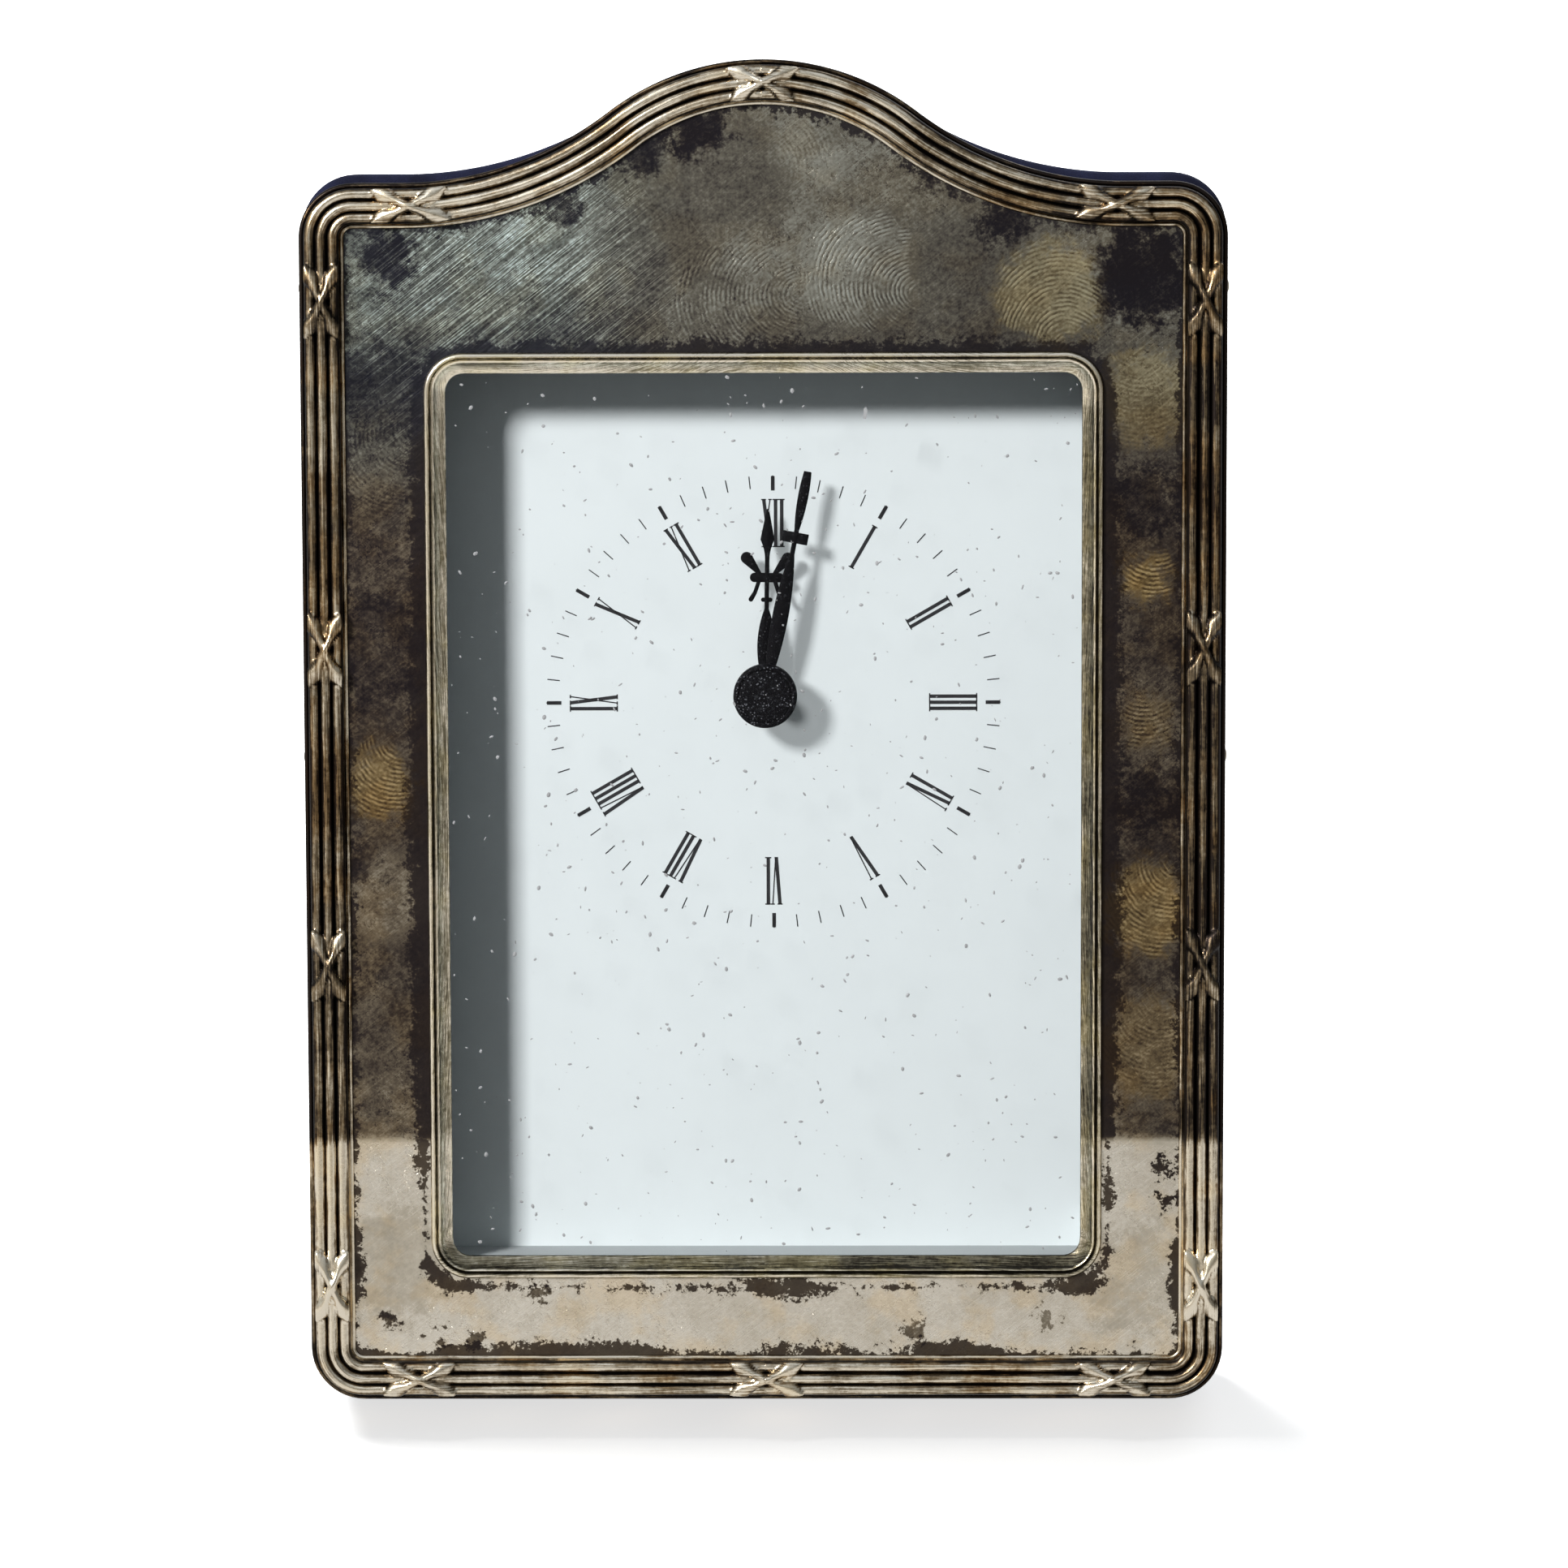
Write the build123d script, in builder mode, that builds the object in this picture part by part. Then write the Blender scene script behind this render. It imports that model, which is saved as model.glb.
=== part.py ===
from build123d import *
import os
from math import atan2, cos, degrees, radians, sin

# A photo frame clock standing on its strut. Millimetres and degrees, +Z up, front towards -Y.
# On the leaning face plane x runs right, y up from the lower edge of the silver, z forward;
# its zero depth is the rear face of the velvet back.

# Stance
lean = 14.0
strut_opening = 32.0
floor_flat = 0.4

# Fits
running_clearance = 0.06
pivot_clearance = 0.05
seat_clearance = 0.15
slip_clearance = 0.03
stop_clearance = 0.3

# Silver front
front_width = 113.0
shoulder_height = 150.3
bow_rise = 14.8
bow_radius = 31.0
bow_half_span = 44.0
corner_radius = 6.6
sheet = 0.8
tray_depth = 6.0
lip_width = 0.9
lip_rise = 0.35
reed_width = 1.5
reed_rise = 1.9
outer_reed_rise = 1.5
reed_slope = 0.3
groove_rise = 0.9
fillet_width = 0.6
fillet_rise = 0.2
border_root = 0.4

# Ribbon ties crossing the reeds
tie_length = 8.6
tie_angle = 29.0
tie_width = 1.2
tie_height = 0.6
tie_sink = 0.1
bottom_ties = (-43.0, 0.0, 43.0)
side_ties = (14.5, 54.5, 93.5, 136.0)
shoulder_tie = 43.0

# Window, bezel and glass
window_width = 77.8
window_height = 109.3
window_foot = 17.8
window_corner = 2.2
bezel_width = 2.6
bezel_depth = 1.6
bezel_lip = 0.5
bezel_slope = 1.6
bead_rise = 0.75
glass_lap = 2.2
glass_thickness = 2.0

# Wooden back, velvet and dial
body_depth = 12.0
velvet_reveal = 0.2
velvet_lift = 0.85
velvet_tuck = 0.7
velvet_thickness = 0.8
velvet_turn_in = 4.0
panel_thickness = 3.0
panel_lap = 6.0
ledge_lap = 3.0
ledge_thickness = 2.0
dial_thickness = 1.0
spacer_wall = 1.4

# Fasteners; small round pieces are drawn with few sides
fastener_sides = 6
round_sides = 12
screw_head_radius = 1.8
screw_head_height = 0.9
screw_shank_radius = 0.8
screw_reach = 4.4
screw_inset = 3.0
pin_head_radius = 0.9
pin_head_height = 0.35
pin_shank_radius = 0.4
pin_reach = 4.5
pin_heights = (80.0, 137.5)

# Movement
arbor_height = 87.0
spring_room = 1.7
movement_depth = 15.0
movement_wall = 1.4
movement_lid = 1.2
movement_gap = 0.5
pad_size = 50.0
pad_thickness = 0.8
pad_hole_radius = 4.0
bush_radius = 3.0
bush_stand = 0.5
bay_slack = 0.9
mid_plate_thickness = 1.0
post_size = 3.0
post_inset = 4.5

# Wheel train
addendum = 0.9
dedendum = 1.5
tooth_tip_share = 0.05
wheel_thickness = 0.8
layer_pitch = 1.3
lid_gap = 0.4
motion_distance = 9.0
third_distance = 8.3
idler_distance = 8.4
idler_angle = 75.0
rotor_distance = 6.0
rotor_angle = 100.0
hour_teeth = 32
motion_pinion_teeth = 8
cannon_teeth = 10
motion_wheel_teeth = 30
centre_teeth = 48
third_pinion_teeth = 6
third_teeth = 45
seconds_pinion_teeth = 6
seconds_teeth = 30
idler_pinion_teeth = 6
idler_teeth = 36
rotor_pinion_teeth = 6
arbor_radius = 0.4
pivot_depth = 0.7
pivot_slack = 0.1
slip_tail = 0.2
minute_arbor_radius = 1.25
hour_pipe_wall = 0.65
knob_shaft_radius = 0.8
knob_radius = 5.2
knob_thickness = 2.4
knob_gap = 0.3
knob_seat = 1.6
knob_notches = 20
knob_notch = 0.5

# Stepping motor, board and cell
rotor_radius = 2.6
rotor_thickness = 2.2
rotor_gap = 0.4
stator_thickness = 0.8
stator_eye = 1.4
stator_half_span = 13.0
stator_leg = 3.0
coil_inset = 4.1
coil_half_length = 9.0
coil_height = 6.4
coil_thickness = 2.8
bobbin_wall = 0.5
board_width = 10.0
board_height = 18.0
board_foot = 1.0
board_thickness = 0.8
crystal_radius = 1.0
crystal_length = 6.0
cell_radius = 7.1
cell_length = 48.5
cell_sides = 24
nub_radius = 2.75
nub_length = 1.0
cell_lift = 0.3
contact_thickness = 0.4
contact_width = 9.0
contact_height = 10.0
contact_gap = 0.1

# Hands and cap
minutes_past_twelve = 1.82
hand_thickness = 0.5
hour_hand_stand = 2.2
minute_hand_stand = 3.7
hour_hand_length = 23.0
minute_hand_length = 28.2
hour_hub_radius = 3.0
minute_hub_radius = 2.6
cap_radius = 3.95
cap_height = 1.9
cap_seat = 0.9

# Strut and its hinge
hinge_drop = 7.0
strut_thickness = 4.0
strut_head_width = 20.0
strut_foot_width = 36.0
clip_sheet = 0.6
clip_length = 9.0
fold_gap = 0.8
bracket_sheet = 0.8
bracket_width = 34.0
bracket_drop = 6.0
bracket_rise = 5.0
ear_sheet = 1.0
ear_gap = 0.3
ear_half_height = 3.0
ear_end = 2.0
hinge_pin_radius = 0.9
hinge_pin_end = 0.4
rivet_radius = 1.0
rivet_head_radius = 1.8
rivet_head_height = 0.7
rivet_tail_height = 0.5
rivet_spread = 14.0
clip_rivet_spread = 6.0
clip_rivet_drop = 6.0
clip_rivet_head = 0.45
clip_inset = 0.5

# Depth stations on the face plane
panel_level = body_depth + tray_depth
glass_front = panel_level - bezel_depth
glass_rear = glass_front - glass_thickness
dial_rear = panel_thickness + ledge_thickness
dial_front = dial_rear + dial_thickness
movement_front = dial_rear - pad_thickness
lid_rear = movement_front - movement_lid
movement_rear = movement_front - movement_depth
floor_level = movement_rear + movement_lid

# Border, bow and window sizes that follow
front_height = shoulder_height + bow_rise
border_width = lip_width + 3 * reed_width + fillet_width
reed_middle = lip_width + 1.5 * reed_width
window_middle = window_foot + window_height / 2
glass_width = window_width + 2 * glass_lap
glass_height = window_height + 2 * glass_lap
panel_width = glass_width + panel_lap
panel_height = glass_height + panel_lap

# The movement is as wide as its cell and contacts, and the hinge stands below it
contact_room = movement_wall + contact_thickness + contact_gap
movement_size = cell_length + nub_length + spring_room + 2 * contact_room
bay_height = 2 * cell_radius + bay_slack
hinge_height = arbor_height - movement_size / 2 - hinge_drop

# The heel of the strut stops on the bracket when it is open, and its foot meets the floor
clip_half = strut_thickness / 2 + clip_sheet
pin_stand = bracket_sheet + fold_gap + clip_half
strut_lean = lean - strut_opening
heel_room = fold_gap + clip_half - stop_clearance
strut_heel = (heel_room - clip_half * cos(radians(strut_opening))) / sin(radians(strut_opening))
lean_cos = cos(radians(lean))
lean_sin = sin(radians(lean))
stand_height = velvet_reveal * lean_cos - floor_flat
top_rear = (front_height + velvet_reveal - velvet_tuck) * lean_sin
tie_reach = tie_length / 2 * sin(radians(tie_angle)) + tie_width / 2 * cos(radians(tie_angle))
tie_level = panel_level + reed_rise - tie_sink + tie_height
front_reach = tie_level * lean_cos - (reed_middle - tie_reach) * lean_sin
stand_depth = (front_reach - top_rear) / 2


def leaning_plane(origin, angle, turn=0.0):
    """A plane that faces the front, leans back from upright and is turned about its normal."""
    forward = (0, -cos(radians(angle)), sin(radians(angle)))
    across = sin(radians(turn))
    x_dir = (cos(radians(turn)), across * sin(radians(angle)), across * cos(radians(angle)))
    return Plane(origin=origin, x_dir=x_dir, z_dir=forward)


face = leaning_plane((0, stand_depth, stand_height), lean)
train = leaning_plane(face.from_local_coords((0, arbor_height, 0)), lean)
hinge = leaning_plane(face.from_local_coords((0, hinge_height, -pin_stand)), lean)
strut_plane = leaning_plane(hinge.origin, strut_lean)


def middle_plane(plane):
    """The upright plane of symmetry of a leaning plane."""
    return Plane(origin=plane.origin, x_dir=plane.y_dir, z_dir=plane.x_dir)


def round_sketch(radius):
    """A small shaft as a polygon inside its circle."""
    with BuildSketch() as sketch:
        RegularPolygon(radius, round_sides)
    return sketch.sketch


def bore_sketch(radius):
    """A small bore as a polygon round its circle, so that a shaft turns in it."""
    with BuildSketch() as sketch:
        RegularPolygon(radius, round_sides, major_radius=False)
    return sketch.sketch


def frame_line(plane, inset, lift=0.0, tuck=0.0):
    """The bow-topped outline on a plane, inset from the edge of the silver.

    Its shoulders may be lifted above those of the silver, and its bow tucked in below.
    """
    half = front_width / 2 - inset
    high = shoulder_height - inset + lift
    corner = corner_radius - inset
    rise = bow_rise - lift - tuck
    drop = bow_radius - rise
    cove = (bow_half_span**2 + drop**2 - bow_radius**2) / (2 * rise)
    swing = degrees(atan2(bow_half_span, drop + cove))
    with BuildLine(plane) as line:
        Line((0, inset), (half - corner, inset))
        CenterArc((half - corner, inset + corner), corner, -90, 90)
        Line((half, inset + corner), (half, high - corner))
        CenterArc((half - corner, high - corner), corner, 0, 90)
        Line((half - corner, high), (bow_half_span, high))
        CenterArc((bow_half_span, high + inset + cove), cove + inset, 270, -swing)
        CenterArc((0, front_height - tuck - bow_radius), bow_radius - inset, 90 - swing, swing)
        mirror(about=middle_plane(plane))
    return line.line


def frame_sketch(inset, lift=0.0, tuck=0.0):
    """The bow-topped outline as a face."""
    with BuildSketch() as sketch:
        make_face(frame_line(Plane.XY, inset, lift, tuck).edges())
    return sketch.sketch


def window_line(plane, margin):
    """The rounded window outline on a plane, grown outwards by the margin."""
    half = window_width / 2 + margin
    low = window_foot - margin
    high = window_foot + window_height + margin
    corner = window_corner + margin
    with BuildLine(plane) as line:
        Line((0, low), (half - corner, low))
        CenterArc((half - corner, low + corner), corner, -90, 90)
        Line((half, low + corner), (half, high - corner))
        CenterArc((half - corner, high - corner), corner, 0, 90)
        Line((half - corner, high), (0, high))
        mirror(about=middle_plane(plane))
    return line.line


def window_sketch(margin):
    """The rounded window outline as a face."""
    with BuildSketch() as sketch:
        make_face(window_line(Plane.XY, margin).edges())
    return sketch.sketch


def box_sketch(width, height):
    """A plain rectangle centred on the window."""
    with BuildSketch() as sketch:
        with Locations((0, window_middle)):
            Rectangle(width, height)
    return sketch.sketch


def section_plane(height):
    """The plane across a moulding at the foot of its path: x inwards, y forward from the panel."""
    origin = face.from_local_coords((0, height, panel_level))
    return Plane(origin=origin, x_dir=face.y_dir, z_dir=face.x_dir)


def polar(distance, angle):
    """A point at a distance and an angle from the arbor."""
    return (distance * cos(radians(angle)), distance * sin(radians(angle)))


def gear_sketch(teeth, module, heading):
    """A spur wheel with straight-flanked teeth, the first tooth at the heading."""
    root = module * (teeth / 2 - dedendum)
    tip = module * (teeth / 2 + addendum)
    corners = ((tip, -tooth_tip_share), (tip, tooth_tip_share), (root, 0.5))
    pitch = 360 / teeth
    outline = [
        polar(radius, heading + (tooth + share) * pitch)
        for tooth in range(teeth)
        for radius, share in corners
    ]
    with BuildSketch() as sketch:
        Polygon(*outline, align=None)
    return sketch.sketch


def gap_heading(heading, teeth):
    """The heading that turns a gap towards a tooth of the wheel it meets."""
    return heading + 180 + 180 / teeth


# Wheel places and modules
motion_place = polar(motion_distance, 0)
third_place = polar(third_distance, 180)
idler_place = polar(idler_distance, idler_angle)
rotor_step = polar(rotor_distance, rotor_angle)
rotor_place = (idler_place[0] + rotor_step[0], idler_place[1] + rotor_step[1])
hour_module = 2 * motion_distance / (hour_teeth + motion_pinion_teeth)
minute_module = 2 * motion_distance / (cannon_teeth + motion_wheel_teeth)
centre_module = 2 * third_distance / (centre_teeth + third_pinion_teeth)
third_module = 2 * third_distance / (third_teeth + seconds_pinion_teeth)
seconds_module = 2 * idler_distance / (seconds_teeth + idler_pinion_teeth)
idler_module = 2 * rotor_distance / (idler_teeth + rotor_pinion_teeth)

# Front faces of the wheel layers, from the dial towards the back
hour_layer = lid_rear - lid_gap
minute_layer = hour_layer - layer_pitch
mid_front = minute_layer - wheel_thickness - lid_gap
mid_rear = mid_front - mid_plate_thickness
centre_layer = mid_rear - lid_gap
third_layer = centre_layer - layer_pitch
seconds_layer = third_layer - layer_pitch
idler_layer = seconds_layer - layer_pitch
rotor_layer = idler_layer - layer_pitch
stator_layer = rotor_layer - (rotor_thickness - stator_thickness) / 2

hour_bore = minute_arbor_radius + running_clearance
hour_pipe_radius = hour_bore + hour_pipe_wall
bush_bore = hour_pipe_radius + running_clearance
bay_top = -movement_size / 2 + movement_wall + bay_height
inner_half = movement_size / 2 - movement_wall
coil_rise = inner_half - coil_inset
minute_angle = 6 * minutes_past_twelve
hour_angle = minutes_past_twelve / 2
hour_hand_rear = dial_front + hour_hand_stand
minute_hand_rear = dial_front + minute_hand_stand
minute_hand_front = minute_hand_rear + hand_thickness

# Silver front: a tray of sheet with a reeded border, ribbon ties and a bezel round the window
with BuildPart() as silver_front:
    with BuildSketch(face.offset(body_depth)):
        add(frame_sketch(0))
    extrude(amount=tray_depth)
    with BuildSketch(face.offset(body_depth)):
        add(frame_sketch(sheet))
    extrude(amount=tray_depth - sheet, mode=Mode.SUBTRACT)
    with BuildSketch(face.offset(panel_level)):
        add(window_sketch(bezel_width / 2))
    extrude(amount=-tray_depth, mode=Mode.SUBTRACT)
    with BuildSketch(section_plane(0)):
        Polygon(
            (0, -border_root),
            (0, lip_rise),
            (lip_width, lip_rise),
            (lip_width, outer_reed_rise),
            (lip_width + reed_width - reed_slope, outer_reed_rise),
            (lip_width + reed_width, groove_rise),
            (lip_width + reed_width + reed_slope, reed_rise),
            (lip_width + 2 * reed_width - reed_slope, reed_rise),
            (lip_width + 2 * reed_width, groove_rise),
            (lip_width + 2 * reed_width + reed_slope, outer_reed_rise),
            (lip_width + 3 * reed_width, outer_reed_rise),
            (lip_width + 3 * reed_width, fillet_rise),
            (border_width, fillet_rise),
            (border_width, -border_root),
            align=None,
        )
    sweep(path=Wire(frame_line(face.offset(panel_level), 0).edges()))
    with BuildSketch(section_plane(window_foot)):
        Polygon(
            (-bezel_width, -sheet),
            (-bezel_width, bead_rise),
            (-bezel_slope, bead_rise),
            (0, bezel_lip - bezel_depth),
            (0, -bezel_depth),
            (-bezel_slope, -bezel_depth),
            align=None,
        )
    sweep(path=Wire(window_line(face.offset(panel_level), 0).edges()))
    ties = [(x, reed_middle, 0) for x in bottom_ties]
    ties += [(side * (front_width / 2 - reed_middle), y, 90) for side in (-1, 1) for y in side_ties]
    ties += [(side * shoulder_tie, shoulder_height - reed_middle, 0) for side in (-1, 1)]
    ties += [(0, front_height - reed_middle, 0)]
    with BuildSketch(face.offset(panel_level + reed_rise - tie_sink)):
        for x, y, heading in ties:
            with Locations((x, y)):
                Rectangle(tie_length, tie_width, rotation=heading + tie_angle)
                Rectangle(tie_length, tie_width, rotation=heading - tie_angle)
    extrude(amount=tie_height)
    with BuildSketch(middle_plane(face)):
        with Locations(*[(y, body_depth + tray_depth / 2) for y in pin_heights]):
            RegularPolygon(pin_shank_radius + slip_clearance, fastener_sides)
    extrude(amount=front_width, both=True, mode=Mode.SUBTRACT)

# Wooden former that fills the silver tray behind the panel
with BuildPart() as front_former:
    with BuildSketch(face.offset(body_depth)):
        add(frame_sketch(sheet + seat_clearance))
        bezel_room = 2 * (bezel_width + seat_clearance)
        add(box_sketch(window_width + bezel_room, window_height + bezel_room), mode=Mode.SUBTRACT)
    extrude(amount=tray_depth - sheet - seat_clearance)
    with BuildSketch(middle_plane(face)):
        with Locations(*[(y, body_depth + tray_depth / 2) for y in pin_heights]):
            RegularPolygon(pin_shank_radius + slip_clearance, fastener_sides)
    extrude(amount=front_width, both=True, mode=Mode.SUBTRACT)

# Pins through the sides of the silver into the former
with BuildPart() as side_pins:
    for side in (-1, 1):
        pin_plane = middle_plane(face).offset(side * (front_width / 2 - pin_reach))
        with BuildSketch(pin_plane):
            with Locations(*[(y, body_depth + tray_depth / 2) for y in pin_heights]):
                RegularPolygon(pin_shank_radius, fastener_sides)
        extrude(amount=side * pin_reach)
        with BuildSketch(pin_plane.offset(side * pin_reach)):
            with Locations(*[(y, body_depth + tray_depth / 2) for y in pin_heights]):
                RegularPolygon(pin_head_radius, fastener_sides)
        extrude(amount=side * pin_head_height)

with BuildPart() as glass:
    with BuildSketch(face.offset(glass_rear)):
        add(box_sketch(glass_width, glass_height))
    extrude(amount=glass_thickness)

with BuildPart() as dial_spacer:
    with BuildSketch(face.offset(dial_front)):
        add(box_sketch(glass_width, glass_height))
        inner_width = glass_width - 2 * spacer_wall
        add(box_sketch(inner_width, glass_height - 2 * spacer_wall), mode=Mode.SUBTRACT)
    extrude(amount=glass_rear - dial_front)

with BuildPart() as dial_plate:
    with BuildSketch(face.offset(dial_rear)):
        add(box_sketch(glass_width, glass_height))
        with Locations((0, arbor_height)):
            add(bore_sketch(bush_radius + slip_clearance), mode=Mode.SUBTRACT)
    extrude(amount=dial_thickness)

# Wooden back: a rebate for the rear panel, a ledge, and a pocket for the dial and its spacer
wood_inset = velvet_thickness - velvet_reveal
with BuildPart() as back_box:
    with BuildSketch(face.offset(velvet_thickness)):
        add(frame_sketch(wood_inset, velvet_lift, velvet_tuck))
    extrude(amount=body_depth - 2 * velvet_thickness)
    with BuildSketch(face.offset(velvet_thickness)):
        add(box_sketch(panel_width + 2 * seat_clearance, panel_height + 2 * seat_clearance))
    extrude(amount=panel_thickness - velvet_thickness, mode=Mode.SUBTRACT)
    with BuildSketch(face.offset(panel_thickness)):
        add(box_sketch(glass_width - 2 * ledge_lap, glass_height - 2 * ledge_lap))
    extrude(amount=ledge_thickness, mode=Mode.SUBTRACT)
    with BuildSketch(face.offset(dial_rear)):
        add(box_sketch(glass_width + 2 * seat_clearance, glass_height + 2 * seat_clearance))
    extrude(amount=body_depth - dial_rear, mode=Mode.SUBTRACT)
    with BuildSketch(face.offset(panel_thickness)):
        with Locations((0, window_middle)):
            with GridLocations(panel_width - 2 * screw_inset, panel_height - 2 * screw_inset, 2, 2):
                RegularPolygon(screw_shank_radius + slip_clearance, fastener_sides)
    extrude(amount=screw_reach - panel_thickness, mode=Mode.SUBTRACT)

# Velvet wrapped round the wooden back and turned in at its front and rear
with BuildPart() as velvet_cover:
    with BuildSketch(face):
        add(frame_sketch(-velvet_reveal, velvet_lift, velvet_tuck))
    extrude(amount=body_depth)
    with BuildSketch(face.offset(velvet_thickness)):
        add(frame_sketch(wood_inset, velvet_lift, velvet_tuck))
    extrude(amount=body_depth - 2 * velvet_thickness, mode=Mode.SUBTRACT)
    with BuildSketch(face):
        add(box_sketch(panel_width + 2 * seat_clearance, panel_height + 2 * seat_clearance))
    extrude(amount=velvet_thickness, mode=Mode.SUBTRACT)
    with BuildSketch(face.offset(body_depth)):
        add(frame_sketch(velvet_turn_in))
    extrude(amount=-velvet_thickness, mode=Mode.SUBTRACT)
    split(bisect_by=Plane.XY, keep=Keep.TOP)

# Rear panel, screwed to the ledge, with a square opening for the movement
movement_room = movement_size + 2 * movement_gap
with BuildPart() as back_panel:
    with BuildSketch(face):
        add(box_sketch(panel_width, panel_height))
        with Locations((0, arbor_height)):
            Rectangle(movement_room, movement_room, mode=Mode.SUBTRACT)
        with Locations((0, window_middle)):
            with GridLocations(panel_width - 2 * screw_inset, panel_height - 2 * screw_inset, 2, 2):
                RegularPolygon(screw_shank_radius + slip_clearance, fastener_sides, mode=Mode.SUBTRACT)
        with Locations((0, hinge_height - (bracket_drop - bracket_rise) / 2)):
            with GridLocations(2 * rivet_spread, 0, 2, 1):
                RegularPolygon(rivet_radius + slip_clearance, fastener_sides, mode=Mode.SUBTRACT)
    extrude(amount=panel_thickness)

with BuildPart() as back_screws:
    with BuildSketch(face):
        with Locations((0, window_middle)):
            with GridLocations(panel_width - 2 * screw_inset, panel_height - 2 * screw_inset, 2, 2):
                RegularPolygon(screw_head_radius, fastener_sides)
    extrude(amount=-screw_head_height)
    with BuildSketch(face):
        with Locations((0, window_middle)):
            with GridLocations(panel_width - 2 * screw_inset, panel_height - 2 * screw_inset, 2, 2):
                RegularPolygon(screw_shank_radius, fastener_sides)
    extrude(amount=screw_reach)

# Movement case, stuck to the rear of the dial
with BuildPart() as fixing_pad:
    with BuildSketch(train.offset(movement_front)):
        Rectangle(pad_size, pad_size)
        add(bore_sketch(pad_hole_radius), mode=Mode.SUBTRACT)
    extrude(amount=pad_thickness)

with BuildPart() as movement_lid_plate:
    with BuildSketch(train.offset(lid_rear)):
        Rectangle(movement_size, movement_size)
    extrude(amount=movement_lid)
    with BuildSketch(train.offset(movement_front)):
        add(round_sketch(bush_radius))
    extrude(amount=dial_front + bush_stand - movement_front)
    with BuildSketch(train.offset(lid_rear)):
        add(bore_sketch(bush_bore))
    extrude(amount=dial_front + bush_stand - lid_rear, mode=Mode.SUBTRACT)
    with BuildSketch(train.offset(lid_rear)):
        with Locations(motion_place):
            add(bore_sketch(knob_shaft_radius + pivot_clearance))
    extrude(amount=pivot_depth, mode=Mode.SUBTRACT)

room_height = inner_half - bay_top - movement_wall
room_middle = inner_half - room_height / 2
with BuildPart() as movement_case:
    with BuildSketch(train.offset(movement_rear)):
        Rectangle(movement_size, movement_size)
    extrude(amount=lid_rear - movement_rear)
    with BuildSketch(train.offset(floor_level)):
        with Locations((0, room_middle)):
            Rectangle(2 * inner_half, room_height)
    extrude(amount=lid_rear - floor_level, mode=Mode.SUBTRACT)
    with BuildSketch(train.offset(movement_rear)):
        with Locations((0, bay_top - bay_height / 2)):
            Rectangle(2 * inner_half, bay_height)
    extrude(amount=lid_rear - movement_rear, mode=Mode.SUBTRACT)
    with BuildSketch(train.offset(floor_level)):
        with Locations((0, room_middle)):
            with GridLocations(2 * (inner_half - post_inset), room_height - 2 * post_inset, 2, 2):
                Rectangle(post_size, post_size)
    extrude(amount=mid_rear - floor_level)
    with BuildSketch(train.offset(floor_level)):
        with Locations((0, 0), third_place, idler_place, rotor_place):
            Circle(arbor_radius + pivot_clearance)
    extrude(amount=-pivot_depth, mode=Mode.SUBTRACT)
    with BuildSketch(train.offset(movement_rear)):
        with Locations(motion_place):
            Circle(knob_shaft_radius + running_clearance)
    extrude(amount=movement_lid, mode=Mode.SUBTRACT)

with BuildPart() as mid_plate:
    with BuildSketch(train.offset(mid_rear)):
        with Locations((0, room_middle)):
            Rectangle(2 * (inner_half - seat_clearance), room_height - 2 * seat_clearance)
        add(bore_sketch(minute_arbor_radius + running_clearance), mode=Mode.SUBTRACT)
        with Locations(third_place, idler_place, rotor_place):
            add(bore_sketch(arbor_radius + pivot_clearance), mode=Mode.SUBTRACT)
        with Locations(motion_place):
            add(bore_sketch(knob_shaft_radius + running_clearance), mode=Mode.SUBTRACT)
    extrude(amount=mid_plate_thickness)

# Motion work: the hands turn together, twelve to one
with BuildPart() as hour_wheel:
    with BuildSketch(train.offset(hour_layer)):
        add(gear_sketch(hour_teeth, hour_module, 0))
    extrude(amount=-wheel_thickness)
    with BuildSketch(train.offset(hour_layer)):
        add(round_sketch(hour_pipe_radius))
    extrude(amount=hour_hand_rear + hand_thickness - hour_layer)
    with BuildSketch(train.offset(hour_layer - wheel_thickness)):
        add(bore_sketch(hour_bore))
    extrude(amount=hour_hand_rear + hand_thickness - hour_layer + wheel_thickness, mode=Mode.SUBTRACT)

minute_rear = minute_layer - wheel_thickness
slip_end = centre_layer - wheel_thickness - slip_tail
with BuildPart() as cannon_pinion:
    with BuildSketch(train.offset(minute_layer)):
        add(gear_sketch(cannon_teeth, minute_module, 0))
    extrude(amount=-wheel_thickness)
    with BuildSketch(train.offset(slip_end)):
        add(round_sketch(minute_arbor_radius))
    extrude(amount=minute_hand_front + cap_seat - slip_end)
    with BuildSketch(train.offset(slip_end)):
        add(bore_sketch(arbor_radius + pivot_clearance))
    extrude(amount=pivot_depth, mode=Mode.SUBTRACT)

with BuildPart() as minute_wheel:
    with BuildSketch(train.offset(minute_layer)):
        with Locations(motion_place):
            add(gear_sketch(motion_wheel_teeth, minute_module, gap_heading(0, motion_wheel_teeth)))
    extrude(amount=-wheel_thickness)
    with BuildSketch(train.offset(hour_layer)):
        with Locations(motion_place):
            add(gear_sketch(motion_pinion_teeth, hour_module, gap_heading(0, motion_pinion_teeth)))
    extrude(amount=minute_layer - hour_layer)
    with BuildSketch(train.offset(hour_layer)):
        with Locations(motion_place):
            add(round_sketch(knob_shaft_radius))
    extrude(amount=minute_rear - hour_layer, mode=Mode.SUBTRACT)

knob_floor = movement_rear - knob_gap - knob_seat
with BuildPart() as setting_arbor:
    with BuildSketch(train.offset(knob_floor)):
        with Locations(motion_place):
            add(round_sketch(knob_shaft_radius))
    extrude(amount=lid_rear + pivot_depth - pivot_slack - knob_floor)

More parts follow.
